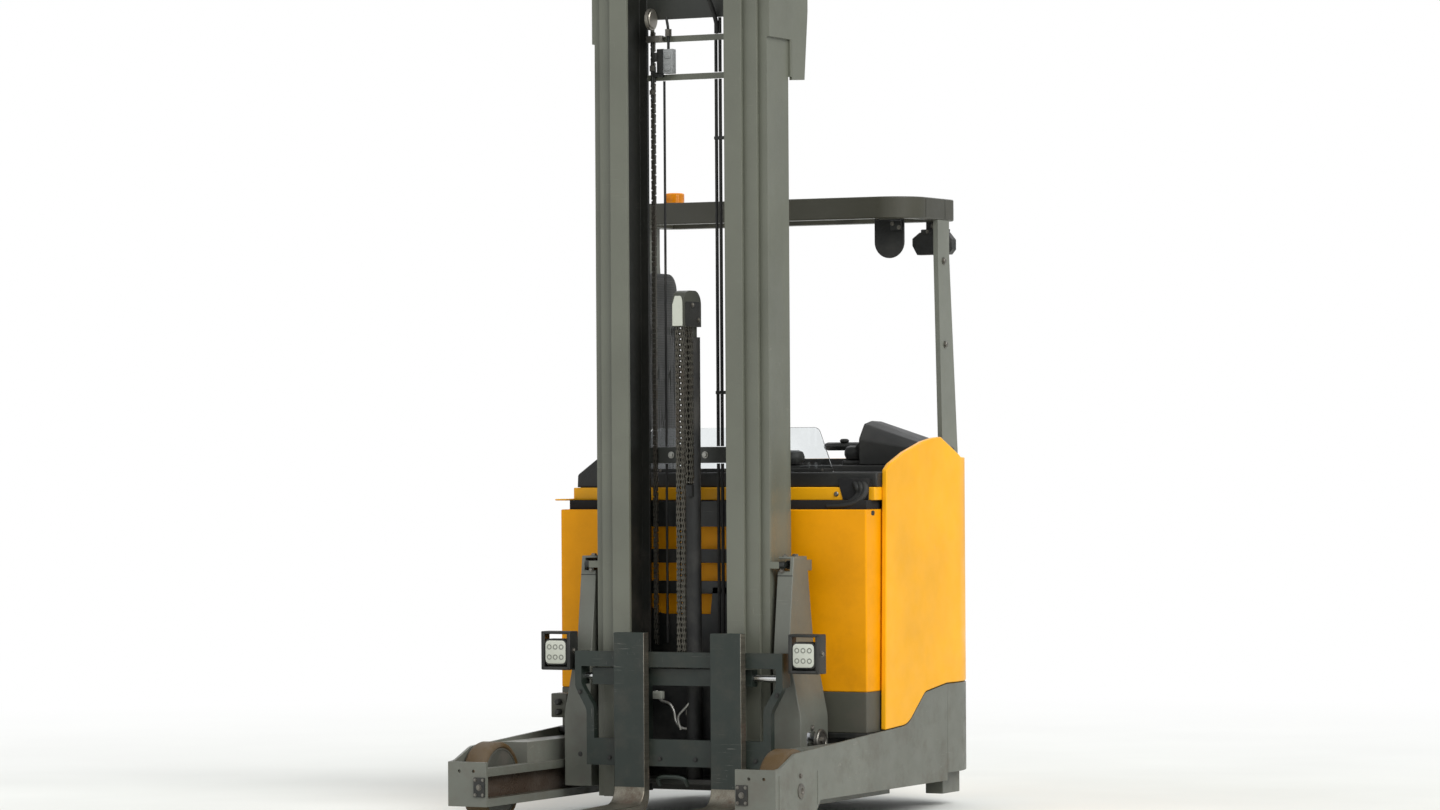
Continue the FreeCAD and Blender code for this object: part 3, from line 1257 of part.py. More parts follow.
def lift_chain():
    """Chain from the fork carriage over the sheave to its anchor on the free lift cylinder."""
    middle, radius = S.head_left + S.head_width / 2, S.sheave_radius
    y, z = ahead(S.sheave_ahead), S.free_head_top - S.sheave_drop
    outer, left = radius + S.chain_thick, middle - S.chain_width / 2
    ring = rod("chain_outer", "X", (left, y, z), outer, S.chain_width)
    hole = rod("chain_inner", "X", (left - 5, y, z), radius, S.chain_width + 10)
    lower = box("chain_lower", (left - 5, y - outer - 5, z - outer - 5),
                (left + S.chain_width + 5, y + outer + 5, z))
    arch = cut("chain_arch", ring, [hole, lower])
    front = box("chain_front", (left, y - outer, S.plate_bar_top + S.running_gap),
                (left + S.chain_width, y - radius, z + 1))
    rear = box("chain_rear", (left, y + radius, S.chain_anchor + S.running_gap),
               (left + S.chain_width, y + outer, z + 1))
    return fuse("lift_chain_part", [arch, front, rear])


# ---- fork carriage -------------------------------------------------------------------------

def lift_carriage():
    """Roller brackets and bars that run in the inner stage."""
    front = ahead(S.plate_front)
    bar = box("plate_upper", (-PLATE_HALF, front, S.plate_bar_low),
              (PLATE_HALF, front + S.plate_thick, S.plate_bar_top))
    low = box("plate_lower", (-PLATE_HALF, front + 14, S.low_bar_low + 4),
              (PLATE_HALF, front + S.plate_thick, S.low_bar_top - 5))
    bracket = box("plate_bracket", (150, front + S.plate_thick - 1, S.low_bar_low + 4),
                  (175, ahead(S.mast_rear + S.mast_step * 2 + 40), S.plate_bar_top))
    bore = rod("plate_bore", "X", (-PLATE_HALF - 5, front + S.plate_thick / 2,
                                   (S.plate_bar_low + S.plate_bar_top) / 2), 13.3,
               PLATE_HALF * 2 + 10)
    whole = fuse("plate_whole", [bar, low, bracket, mirrored("plate_bracket_left", bracket)])
    return cut("lift_carriage_part", whole, [bore])


def carriage_rollers():
    """Four large rollers in the inner stage's channels."""
    y = ahead(S.mast_rear + S.mast_step * 2 + S.mast_depth / 2)
    solids = []
    for name, z in (("low", 268.0), ("high", 465.0)):
        stub = roller(f"mast_roller_{name}_stub", (175, y, z), 20, 8)
        wheel = roller(f"mast_roller_{name}_wheel", (180, y, z), S.carriage_roller, 36)
        right = fuse(f"mast_roller_{name}_right", [stub, wheel])
        solids += [right, mirrored(f"mast_roller_{name}_left", right)]
    return group("carriage_rollers_part", solids)


def shift_frame():
    """Fork bars and curved side bars of the side shift."""
    x, front = S.shift_rest, ahead(S.frame_front)
    rear = front + S.frame_thick
    half, wide = S.frame_half, S.lug_width
    high, low = S.side_bend_high, S.side_bend_low
    upper = box("shift_upper", (x - half, front, S.bar_low), (x + half, rear, S.bar_top))
    lower = box("shift_lower", (x - half + 50, front, S.low_bar_low),
                (x + half - 50, rear, S.low_bar_top))
    points = [
        (x + half, S.bar_low + 5), (x + half, high - 5), (x + half - 45, low - 5),
        (x + half - 45, S.low_bar_low), (x + half - 75, S.low_bar_low),
        (x + half - 75, low + 5), (x + half - wide, high + 5),
        (x + half - wide, S.bar_low + 5),
    ]
    right = prism("shift_side_right", "XZ", points, front, rear, rounds=[((1, 2, 5, 6), 40.0)])
    points_left = [(2 * x - u, v) for u, v in points]
    left = prism("shift_side_left", "XZ", points_left, front, rear, rounds=[((1, 2, 5, 6), 40.0)])
    lugs = [box(f"shift_lug{index}", (start, front, S.plate_bar_low),
                (start + wide, front + S.frame_thick + 34, S.bar_top))
            for index, start in enumerate((x - half, x + half - wide))]
    return fuse("shift_frame_part", [upper, lower, right, left, *lugs])


def shift_rod():
    """Bright through rod of the side shift cylinder."""
    x = S.shift_rest - S.frame_half + S.lug_width
    return rod("shift_rod_part", "X", (x, ahead(S.plate_front) + S.plate_thick / 2,
                                       (S.plate_bar_low + S.plate_bar_top) / 2), 13.0,
               (S.frame_half - S.lug_width) * 2)


def fork(label, x):
    """Forged fork: shank, rounded heel and tapering blade."""
    front, thick = ahead(S.fork_front), S.fork_thick
    tip, low = ahead(S.tip_ahead), S.fork_low
    body = prism(label + "_side", "YZ", [
        (front + thick, S.fork_top), (front, S.fork_top), (front, low + thick),
        (tip, low + S.fork_tip), (tip, low), (front + thick, low),
    ], x - S.fork_width / 2, x + S.fork_width / 2,
        rounds=[((2,), S.fork_heel), ((5,), S.fork_heel + thick / 2)])
    plan = prism(label + "_plan", "XY", [
        (x - S.fork_width / 2 - 1, front + thick + 5), (x - S.fork_width / 2 - 1, tip + 120),
        (x - 35, tip - 1), (x + 35, tip - 1), (x + S.fork_width / 2 + 1, tip + 120),
        (x + S.fork_width / 2 + 1, front + thick + 5),
    ], low - 5, S.fork_top + 5)
    return common(label + "_part", body, plan)


def lamp(label, sign):
    """LED work lamp beside the side shift frame."""
    x = S.shift_rest + sign * S.lamp_x
    half = S.lamp_width / 2
    front = ahead(S.frame_front)
    body = box(label + "_body", (x - half, front, S.lamp_low),
               (x + half, front + S.lamp_depth, S.lamp_low + S.lamp_height))
    near = S.shift_rest + sign * S.frame_half
    far = x - sign * half
    low_x, high_x = (near, far) if sign > 0 else (far, near)
    arm = box(label + "_arm", (low_x, front + 5, S.bar_low + 8),
              (high_x, front + 15, S.bar_top - 8))
    return fuse(label + "_part", [body, arm])


# ---- the whole truck -----------------------------------------------------------------------

for part_label, maker in (("support_arm", support_arm), ("load_wheel", load_wheel)):
    both_sides(part_label, maker)

for part_label, maker in (("cheek", cheek), ("tilt_barrel", tilt_barrel), ("tilt_rod", tilt_rod)):
    right = maker(part_label)
    node(part_label + "s", group(part_label + "_pair", [right, mirrored(part_label + "_left", right)]))

for part_label, maker in (
        ("drive_wheel", drive_wheel), ("drive_gear", drive_gear), ("drive_motor", drive_motor),
        ("base_frame", base_frame), ("rear_skirt", rear_skirt),
        ("stabiliser_feet", stabiliser_feet), ("battery_case", battery_case),
        ("battery", battery), ("side_panel_right", side_panel_right),
        ("side_panel_left", side_panel_left), ("rear_door", rear_door), ("bulkhead", bulkhead),
        ("driver_floor", driver_floor), ("battery_lid", battery_lid), ("console", console),
        ("guard_posts", guard_posts), ("instrument_hood", instrument_hood),
        ("steering_desk", steering_desk),
        ("handwheel", handwheel), ("seat_base", seat_base), ("seat_cushion", seat_cushion),
        ("backrest", backrest), ("screen", screen), ("overhead_guard", overhead_guard),
        ("guard_fittings", guard_fittings), ("beacon", beacon),
        ("carriage_frame", carriage_frame),
        ("reach_rollers", reach_rollers), ("reach_rod", reach_rod),
        ("reach_cylinder", reach_cylinder), ("outer_mast", outer_mast),
        ("lift_cylinders", lift_cylinders), ("middle_mast", middle_mast),
        ("lift_rods", lift_rods), ("middle_rollers", middle_rollers),
        ("inner_mast", inner_mast), ("inner_rollers", inner_rollers),
        ("free_lift_cylinder", free_lift_cylinder), ("free_lift_rod", free_lift_rod),
        ("chain_sheave", chain_sheave), ("lift_chain", lift_chain),
        ("lift_carriage", lift_carriage),
        ("carriage_rollers", carriage_rollers), ("shift_frame", shift_frame),
        ("shift_rod", shift_rod)):
    node(part_label, maker())

node("forks", group("forks_pair", [fork("fork_left", -S.fork_left),
                                   fork("fork_right", S.fork_right)]))
node("work_lamps", group("work_lamps_pair", [lamp("lamp_left", -1), lamp("lamp_right", 1)]))

doc.recompute()

for item in doc.Objects:
    if "Invalid" in item.State or "Error" in item.State:
        raise RuntimeError(f"{item.Label} did not build: {item.State}")

os.makedirs("parts", exist_ok=True)
for part_label, feature in NODES.items():
    shape = feature.Shape
    if shape.isNull() or not shape.isValid() or not shape.Solids:
        raise RuntimeError(f"{part_label} has no valid solid")
    shape.exportStep(os.path.join("parts", part_label + ".step"))
    size = shape.BoundBox
    print(f"{part_label}: {len(shape.Solids)} solids, {shape.Volume / 1e6:.2f} litres, "
          f"x {size.XMin:.0f}..{size.XMax:.0f} y {size.YMin:.0f}..{size.YMax:.0f} "
          f"z {size.ZMin:.0f}..{size.ZMax:.0f}")
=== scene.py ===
"""Finishes and fittings of a reach truck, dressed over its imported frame.

Every sub-assembly is a class with its sizes as fields, in metres. New surfaces are grids of two
parameters or profiles carried along a path, worked out with numpy. X is the truck's width, positive
on its right, Y runs from the forks to the driver, and Z is up from the floor.
"""

import json
import logging
import math
from dataclasses import dataclass, field
from enum import Enum
from functools import cached_property
from typing import Callable, Iterable, Sequence

import bmesh
import bpy
import numpy as np
from mathutils import Matrix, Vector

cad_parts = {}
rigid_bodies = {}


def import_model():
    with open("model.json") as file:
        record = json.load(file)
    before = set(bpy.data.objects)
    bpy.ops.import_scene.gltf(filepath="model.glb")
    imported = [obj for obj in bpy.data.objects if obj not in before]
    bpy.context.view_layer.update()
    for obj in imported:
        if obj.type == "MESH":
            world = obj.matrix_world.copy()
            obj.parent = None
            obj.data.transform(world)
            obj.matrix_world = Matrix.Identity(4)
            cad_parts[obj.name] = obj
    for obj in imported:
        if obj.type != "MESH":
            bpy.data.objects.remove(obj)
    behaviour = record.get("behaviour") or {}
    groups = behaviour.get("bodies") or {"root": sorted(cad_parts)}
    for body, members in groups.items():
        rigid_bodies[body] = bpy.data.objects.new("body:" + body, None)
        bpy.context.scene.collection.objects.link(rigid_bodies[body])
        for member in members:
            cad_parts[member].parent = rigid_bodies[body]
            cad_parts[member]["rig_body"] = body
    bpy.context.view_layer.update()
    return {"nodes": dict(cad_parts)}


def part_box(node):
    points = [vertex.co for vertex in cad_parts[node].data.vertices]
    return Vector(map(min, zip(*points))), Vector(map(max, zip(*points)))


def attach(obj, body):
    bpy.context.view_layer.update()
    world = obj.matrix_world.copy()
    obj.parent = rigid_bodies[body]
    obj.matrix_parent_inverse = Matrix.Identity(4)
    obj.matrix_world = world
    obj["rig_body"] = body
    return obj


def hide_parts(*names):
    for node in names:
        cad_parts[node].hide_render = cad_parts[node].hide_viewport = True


LOG = logging.getLogger("reach_truck")

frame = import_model()

Array = np.ndarray
Point = Sequence[float]
TAU = 2.0 * math.pi


class Side(Enum):
    """Side of the truck, by the sign of X."""

    RIGHT = 1
    LEFT = -1


class Axis(Enum):
    """Direction that a turned or pressed form runs along."""

    X = 0
    Y = 1
    Z = 2


# ---- finishes ------------------------------------------------------------------------------


def linear(hex_colour: str) -> tuple[float, float, float, float]:
    """Shader colour of a written colour.

    Args:
        hex_colour: Colour as six hexadecimal digits.
    Returns:
        Linear red, green, blue and alpha.
    """
    parts = np.array([int(hex_colour[i:i + 2], 16) for i in (0, 2, 4)]) / 255.0
    curve = np.where(parts <= 0.04045, parts / 12.92, ((parts + 0.055) / 1.055) ** 2.4)
    return (*map(float, curve), 1.0)


class Recipe:
    """Node tree of one finish, on Object coordinates."""

    def __init__(self, name: str) -> None:
        """Starts a material with a shader and coordinates.

        Args:
            name: Name of the finish.
        """
        self.material = bpy.data.materials.new(name)
        self.material.use_nodes = True
        self.nodes, self.links = self.material.node_tree.nodes, self.material.node_tree.links
        self.shader = self.nodes["Principled BSDF"]
        self.place = self.nodes.new("ShaderNodeTexCoord").outputs["Object"]

    def set(self, **values: object) -> "Recipe":
        """Sets constants on the shader's own sockets, spaces in a name written as underscores."""
        for name, value in values.items():
            self.shader.inputs[name.replace("_", " ")].default_value = value
        return self

    def stretched(self, scale: Point) -> bpy.types.NodeSocket:
        """Coordinates scaled along each axis.

        Args:
            scale: Factor along each axis.
        Returns:
            Socket of the scaled coordinates.
        """
        node = self.nodes.new("ShaderNodeMapping")
        node.inputs["Scale"].default_value = scale
        self.links.new(self.place, node.inputs["Vector"])
        return node.outputs["Vector"]

    def noise(self, scale: float, detail: float = 4.0, rough: float = 0.55,
              stretch: Point | None = None) -> bpy.types.NodeSocket:
        """Cloudy value.

        Args:
            scale: Clouds to the metre.
            detail: Octaves.
            rough: Share of the finer octaves.
            stretch: Scale of each axis before the clouds are drawn.
        Returns:
            The value's socket.
        """
        node = self.nodes.new("ShaderNodeTexNoise")
        node.inputs["Scale"].default_value = scale
        node.inputs["Detail"].default_value = detail
        node.inputs["Roughness"].default_value = rough
        source = self.place if stretch is None else self.stretched(stretch)
        self.links.new(source, node.inputs["Vector"])
        return node.outputs[0]

    def span(self, value: bpy.types.NodeSocket, low: float, high: float,
             start: float = 0.0, end: float = 1.0) -> bpy.types.NodeSocket:
        """Value from low to high spread from start to end, held at both ends.

        Args:
            value: Socket to spread.
            low: Value that gives the start.
            high: Value that gives the end.
            start: Result at the low value.
            end: Result at the high value.
        Returns:
            Socket of the result.
        """
        node = self.nodes.new("ShaderNodeMapRange")
        for index, number in enumerate((low, high, start, end), start=1):
            node.inputs[index].default_value = number
        self.links.new(value, node.inputs[0])
        return node.outputs[0]

    def times(self, first: bpy.types.NodeSocket,
              second: bpy.types.NodeSocket | float) -> bpy.types.NodeSocket:
        """Product of two values."""
        return self._sum("MULTIPLY", first, second)

    def plus(self, first: bpy.types.NodeSocket, second: bpy.types.NodeSocket | float) -> bpy.types.NodeSocket:
        """Sum of two values."""
        return self._sum("ADD", first, second)

    def _sum(self, kind: str, first: bpy.types.NodeSocket,
             second: bpy.types.NodeSocket | float) -> bpy.types.NodeSocket:
        """One step of arithmetic on two values.

        Args:
            kind: Name of the operation.
            first: Socket that comes first.
            second: Socket or number that comes second.
        Returns:
            Socket of the result.
        """
        node = self.nodes.new("ShaderNodeMath")
        node.operation = kind
        self.links.new(first, node.inputs[0])
        if isinstance(second, (int, float)):
            node.inputs[1].default_value = second
        else:
            self.links.new(second, node.inputs[1])
        return node.outputs[0]

    def height(self) -> bpy.types.NodeSocket:
        """Height above the floor."""
        node = self.nodes.new("ShaderNodeSeparateXYZ")
        self.links.new(self.place, node.inputs[0])
        return node.outputs["Z"]

    def blend(self, share: bpy.types.NodeSocket, first: object, second: object) -> bpy.types.NodeSocket:
        """Colour between two colours or colour sockets.

        Args:
            share: Share of the second colour.
            first: Colour or socket at share 0.
            second: Colour or socket at share 1.
        Returns:
            The colour's socket.
        """
        node = self.nodes.new("ShaderNodeMix")
        node.data_type = "RGBA"
        self.links.new(share, node.inputs["Factor"])
        for socket, colour in ((node.inputs[6], first), (node.inputs[7], second)):
            if isinstance(colour, bpy.types.NodeSocket):
                self.links.new(colour, socket)
            else:
                socket.default_value = colour
        return node.outputs[2]

    def finish(self, colour: bpy.types.NodeSocket, gloss: bpy.types.NodeSocket,
               relief: bpy.types.NodeSocket, depth: float) -> bpy.types.Material:
        """Links colour, roughness and relief to the shader.

        Args:
            colour: Colour of the surface.
            gloss: Roughness of the surface.
            relief: Height of the fine relief.
            depth: Depth of that relief in metres.
        Returns:
            The finished material.
        """
        bump = self.nodes.new("ShaderNodeBump")
        bump.inputs["Distance"].default_value = depth
        bump.inputs["Strength"].default_value = 1.0
        self.links.new(relief, bump.inputs["Height"])
        self.links.new(bump.outputs[0], self.shader.inputs["Normal"])
        self.links.new(colour, self.shader.inputs["Base Color"])
        self.links.new(gloss, self.shader.inputs["Roughness"])
        return self.material


@dataclass(frozen=True)
class Finish:
    """A named finish and the record's slot it belongs to."""

    name: str
    slot: str
    colour: str

    @cached_property
    def material(self) -> bpy.types.Material:
        """The finish's material, made once."""
        return self.mix(Recipe(self.name))

    def mix(self, recipe: Recipe) -> bpy.types.Material:
        """Draws the finish into its node tree.

        Args:
            recipe: Recipe that builds the nodes.
        Returns:
            Finished material.
        """
        raise NotImplementedError


@dataclass(frozen=True)
class Paint(Finish):
    """Sprayed paint with orange peel, handling marks, scratches and dust near the floor."""

    gloss: float = 0.42
    grime: float = 0.35
    marks: float = 0.3
    dirt: str = "5b5249"
    sheen: float = 0.5

    def mix(self, recipe: Recipe) -> bpy.types.Material:
        """Paint colour in slow clouds, dusted low down, crossed by fine pale scratches.

        Args:
            recipe: Recipe that builds the nodes.
        Returns:
            Finished material.
        """
        base = np.array(linear(self.colour))
        dark, light = base * 0.88, base * 1.1
        dark[3] = light[3] = 1.0
        # Clouds about 380 mm wide, as spray passes leave them.
        clouds = recipe.noise(2.6, 5.0)
        tone = recipe.blend(recipe.span(clouds, 0.3, 0.7), tuple(dark), tuple(light))
        low = recipe.span(recipe.height(), 0.0, 1.3, 1.0, 0.12)
        dust = recipe.times(recipe.span(recipe.noise(9.0, 9.0, 0.68), 0.47, 0.72, 0.0, self.grime), low)
        tone = recipe.blend(dust, tone, linear(self.dirt))
        hair = recipe.plus(
            recipe.span(recipe.noise(1.0, 3.0, 0.6, (9.0, 13.0, 430.0)), 0.66, 0.71, 0.0, 0.5),
            recipe.span(recipe.noise(1.0, 3.0, 0.6, (380.0, 16.0, 21.0)), 0.67, 0.72, 0.0, 0.5))
        patch = recipe.span(recipe.noise(3.4, 3.0), 0.5, 0.66, 0.0, self.marks)
        scratch = recipe.times(hair, patch)
        tone = recipe.blend(scratch, tone, linear("b4b0a8"))
        rough = recipe.plus(recipe.span(recipe.noise(14.0, 6.0), 0.3, 0.7, self.gloss - 0.07,
                                        self.gloss + 0.09),
                            recipe.times(dust, 0.5))
        relief = recipe.plus(recipe.times(recipe.noise(420.0, 2.0), 0.35), recipe.times(scratch, -0.6))
        return recipe.set(Metallic=0.0, Specular_IOR_Level=self.sheen).finish(tone, rough, relief, 0.00035)


@dataclass(frozen=True)
class Steel(Finish):
    """Bare worked steel, drawn along one axis, with dull and rusty patches."""

    gloss: float = 0.34
    rust: float = 0.25
    along: Axis = Axis.Z

    def mix(self, recipe: Recipe) -> bpy.types.Material:
        """Metal streaked along one axis: clouds stretched forty to one, browned where slow clouds meet.

        Args:
            recipe: Recipe that builds the nodes.
        Returns:
            Finished material.
        """
        stretch = [260.0, 260.0, 260.0]
        stretch[self.along.value] = 6.0
        streaks = recipe.noise(1.0, 4.0, 0.6, stretch)
        base = np.array(linear(self.colour))
        dull = base * 0.62
        dull[3] = 1.0
        tone = recipe.blend(recipe.span(streaks, 0.3, 0.7), tuple(dull), tuple(base))
        brown = recipe.span(recipe.noise(11.0, 8.0, 0.7), 0.5, 0.74, 0.0, self.rust)
        tone = recipe.blend(brown, tone, linear("54382a"))
        rough = recipe.plus(recipe.span(streaks, 0.3, 0.7, self.gloss, self.gloss + 0.16),
                            recipe.times(brown, 0.7))
        return recipe.set(Metallic=0.9).finish(tone, rough, streaks, 0.00025)


@dataclass(frozen=True)
class Chrome(Finish):
    """Hard-chromed rod with a film of oil."""

    def mix(self, recipe: Recipe) -> bpy.types.Material:
        """Bright metal, smeared by slow clouds and ringed by fine polishing lines.

        Args:
            recipe: Recipe that builds the nodes.
        Returns:
            Finished material.
        """
        film = recipe.noise(5.0, 5.0)
        lines = recipe.noise(1.0, 2.0, 0.5, (30.0, 30.0, 900.0))
        tone = recipe.blend(recipe.span(film, 0.4, 0.75), linear(self.colour), linear("8f8a7e"))
        rough = recipe.plus(recipe.span(film, 0.3, 0.8, 0.08, 0.2), recipe.times(lines, 0.06))
        return recipe.set(Metallic=1.0).finish(tone, rough, lines, 0.00006)


@dataclass(frozen=True)
class Plastic(Finish):
    """Moulded plastic or rubber with a leather grain, paler where hands and dust reach it."""

    gloss: float = 0.5
    grain: float = 700.0
    depth: float = 0.0005
    dusty: float = 0.2

    def mix(self, recipe: Recipe) -> bpy.types.Material:
        """Flat colour under a cell grain, with dust in slow clouds.

        Args:
            recipe: Recipe that builds the nodes.
        Returns:
            Finished material.
        """
        cells = recipe.nodes.new("ShaderNodeTexVoronoi")
        cells.inputs["Scale"].default_value = self.grain
        recipe.links.new(recipe.place, cells.inputs["Vector"])
        clouds = recipe.noise(6.0, 7.0, 0.62)
        dust = recipe.span(clouds, 0.46, 0.76, 0.0, self.dusty)
        base = np.array(linear(self.colour))
        light = base * 1.35 + 0.004
        light[3] = 1.0
        tone = recipe.blend(recipe.span(recipe.noise(1.7, 3.0), 0.3, 0.7), tuple(base), tuple(light))
        tone = recipe.blend(dust, tone, linear("77736c"))
        rough = recipe.plus(recipe.span(clouds, 0.3, 0.7, self.gloss - 0.06, self.gloss + 0.08),
                            recipe.times(dust, 0.5))
        return recipe.set(Metallic=0.0).finish(tone, rough, cells.outputs["Distance"], self.depth)


@dataclass(frozen=True)
class Weave(Finish):
    """Woven seat cloth: two sets of threads that cross."""

    pitch: float = 0.0028

    def mix(self, recipe: Recipe) -> bpy.types.Material:
        """Height is the product of a wave along each pair of axes, so threads rise and dip in turn.

        Args:
            recipe: Recipe that builds the nodes.
        Returns:
            Finished material.
        """
        # Seat cloth has threads about 1 mm apart; they are drawn about 9 mm apart so that they show.
        waves = []
        for direction in ("X", "Z", "Y"):
            wave = recipe.nodes.new("ShaderNodeTexWave")
            wave.bands_direction = direction
            wave.inputs["Scale"].default_value = 1.0 / (self.pitch * 20.0 / TAU * math.pi)
            wave.inputs["Distortion"].default_value = 0.4
            recipe.links.new(recipe.place, wave.inputs["Vector"])
            waves.append(wave.outputs["Fac"])
        threads = recipe.plus(recipe.times(waves[0], waves[2]), recipe.times(waves[1], waves[2]))
        base = np.array(linear(self.colour))
        light = base * 2.1 + 0.006
        light[3] = 1.0
        tone = recipe.blend(recipe.span(threads, 0.1, 1.4), tuple(base), tuple(light))
        wear = recipe.span(recipe.noise(5.0, 6.0), 0.5, 0.8, 0.0, 0.25)
        tone = recipe.blend(wear, tone, linear("5b5853"))
        rough = recipe.span(recipe.noise(20.0, 4.0), 0.3, 0.7, 0.8, 0.95)
        return recipe.set(Metallic=0.0, Sheen_Weight=0.25).finish(tone, rough, threads, 0.0006)


@dataclass(frozen=True)
class Clear(Finish):
    """Clear sheet or lens."""

    gloss: float = 0.03
    through: float = 0.92

    def mix(self, recipe: Recipe) -> bpy.types.Material:
        """Clear material, wiped: smears turn its gloss and tint in slow clouds.

        Args:
            recipe: Recipe that builds the nodes.
        Returns:
            Finished material.
        """
        smear = recipe.noise(7.0, 7.0, 0.6)
        base = np.array(linear(self.colour))
        dim = base * 0.9
        dim[3] = 1.0
        tone = recipe.blend(recipe.span(smear, 0.4, 0.7), tuple(base), tuple(dim))
        rough = recipe.span(smear, 0.35, 0.75, self.gloss, self.gloss * 1.6 + 0.02)
        recipe.set(Metallic=0.0, Transmission_Weight=self.through, IOR=1.45)
        return recipe.finish(tone, rough, smear, 0.00005)


# Powder-coated sheet steel: even satin sheen with a few faint scratches.
BODY_YELLOW = Paint("body_yellow", "yellow_paint", "efaa10", gloss=0.36, grime=0.1, marks=0.12,
                    dirt="9a6a20", sheen=0.25)
# Sprayed hot-rolled profile: dull, with scuffs where loads have brushed it.
MAST_GREY = Paint("mast_grey", "mast_paint", "64665a", gloss=0.4, grime=0.3, marks=0.5)
# Sprayed thick plate: dull and dusty low down, where the floor dirt reaches.
FRAME_GREY = Paint("frame_grey", "frame_paint", "64665d", gloss=0.44, grime=0.5, marks=0.6)
# Brushed-on enamel over a steel tray: deeper yellow, stained by handling.
BATTERY_YELLOW = Paint("battery_yellow", "yellow_paint", "e89a02", gloss=0.4, grime=0.3, marks=0.15,
                       dirt="8a5206", sheen=0.15)
# Powder-coated tube: clean and smooth; the guard's paint drawn lighter on the posts as painted light.
POST_PAINTED_LIGHT_GREY = Paint("post_grey", "frame_paint", "6c6e64", gloss=0.42, grime=0.1, marks=0.2)
# Sprayed cast hub: flat grey under brake and floor dust.
HUB_GREY = Paint("hub_grey", "frame_paint", "4a4a43", gloss=0.5, grime=0.8, marks=0.6)
# Powder-coated guard frame: the posts' paint drawn darker on the rim as painted shade, dark olive grey,
# nearly clean.
GUARD_PAINTED_SHADE_GREY = Paint("guard_grey", "frame_paint", "3c3b30", gloss=0.4, grime=0.1, marks=0.15)
# Sprayed tray plate: dark, with dirt thrown up by the wheels.
CASE_GREY = Paint("case_grey", "battery_paint", "48483d", gloss=0.5, grime=0.55, marks=0.5)
# Sprayed bracket steel: black with a low sheen.
SATIN_BLACK = Paint("satin_black", "black_paint", "181a17", gloss=0.42, grime=0.4, marks=0.4)
# Sprayed pressed hood: dark grey, lightly scuffed.
HEAD_GREY = Paint("head_grey", "mast_paint", "3f4037", gloss=0.42, grime=0.3, marks=0.3)
# Painted shade on the profiles' inner faces: a nearly black copy of the mast paint, with dust in it.
PAINTED_SHADE_GREY = Paint("greased_profile", "mast_paint", "1d1e1a", gloss=0.5, grime=0.5, marks=0.4, sheen=0.3)
# Painted shade on the cross ties between the profiles: a dark grey copy of the mast paint.
TIE_PAINTED_SHADE_GREY = Paint("tie_grey", "mast_paint", "2e302b", gloss=0.45, grime=0.4, marks=0.6)
# Drawn steel pipe, plated: clean bright lines.
PIPE = Steel("bright_pipe", "worn_steel", "c2c1b9", gloss=0.28, rust=0.1)
# Forged fork steel, sprayed: greenish black with scraped patches.
FORK_BLACK = Paint("fork_black", "carriage_paint", "1f2822", gloss=0.46, grime=0.3, marks=0.9)
# Cast steel rubbed bare: warm grey, with a soft shine.
WORN = Steel("worn_steel", "worn_steel", "b9b4a8", gloss=0.3, rust=0.22)
# Channel rubbed by rollers: long bright tracks with rust between.
ROLLED = Steel("rolled_track", "worn_steel", "aaa394", gloss=0.26, rust=0.55, along=Axis.Y)
# Flange rubbed by rollers: darker tracks up the mast.
ROLLED_UP = Steel("rolled_upright", "worn_steel", "6d6a63", gloss=0.3, rust=0.6)
# Moulded pale cover: plain, light and slightly dusty.
PALE_FACE = Plastic("lamp_face", "black_plastic", "aeb0a4", gloss=0.25, grain=300.0, dusty=0.15)
# Forged steel ground bare by pallets: bright streaks along the blade.
WORN_FORK = Steel("rubbed_fork", "worn_steel", "8f8a7c", gloss=0.32, rust=0.7, along=Axis.Y)
# Zinc-plated steel: small even highlights.
BOLT = Steel("zinc_bolt", "worn_steel", "85827a", gloss=0.35, rust=0.3)
# Oiled leaf chain steel: grey plate edges against dark gaps.
CHAIN = Steel("oiled_chain", "chain_steel", "6a675e", gloss=0.36, rust=0.35)
# Hard chrome: a mirror-like band of light.
ROD = Chrome("chromed_rod", "bright_rod", "dfe1e2")
# Moulded black ABS: fine grain and a low sheen.
BLACK = Plastic("black_plastic", "black_plastic", "151613", gloss=0.5)
# Moulded black console plastic: coarse grain that scatters the light.
HOOD = Plastic("console_plastic", "black_plastic", "151614", gloss=0.55, grain=520.0, dusty=0.12)
# Black rubber: matt, no clear highlight.
RUBBER = Plastic("hose_rubber", "black_plastic", "111210", gloss=0.6, grain=900.0, dusty=0.3)
# Moulded grey plastic: light and matt.
PALE = Plastic("grey_plastic", "black_plastic", "8d8f8e", gloss=0.5, grain=600.0, dusty=0.3)
# Cast polyurethane tyre: matt brown with floor dust.
TREAD = Plastic("wheel_tread", "tread", "463310", gloss=0.6, grain=420.0, depth=0.0009, dusty=0.45)
# Woven seat cloth: threads that catch the light at their crossings.
CLOTH = Weave("seat_cloth", "seat_cover", "1e1f1c")
# Clear polycarbonate sheet: nearly invisible but for wiped smears.
SHEET = Clear("clear_sheet", "clear_screen", "f2f6f7", gloss=0.0, through=1.0)
# Lamp light behind its lens: pale spot with a glossy skin.
LED = Plastic("lamp_light", "clear_screen", "71736a", gloss=0.2, grain=260.0, depth=0.0002, dusty=0.1)
# Clear moulded lens: sharp small highlights.
LENS = Clear("lamp_lens", "clear_screen", "e8ecee", gloss=0.08, through=0.35)
# Amber moulded lens: warm, half clear.
AMBER = Clear("amber_lens", "amber", "ff9d0c", gloss=0.16, through=0.06)
# Display glass: dark with a sharp highlight.
MIRROR_DARK = Plastic("display_glass", "black_plastic", "0e1216", gloss=0.12, grain=200.0, depth=0.00005,
                      dusty=0.05)
# Silvered glass: a sharp reflection.
MIRROR = Chrome("mirror_glass", "bright_rod", "e6eaec")


# ---- surfaces ------------------------------------------------------------------------------


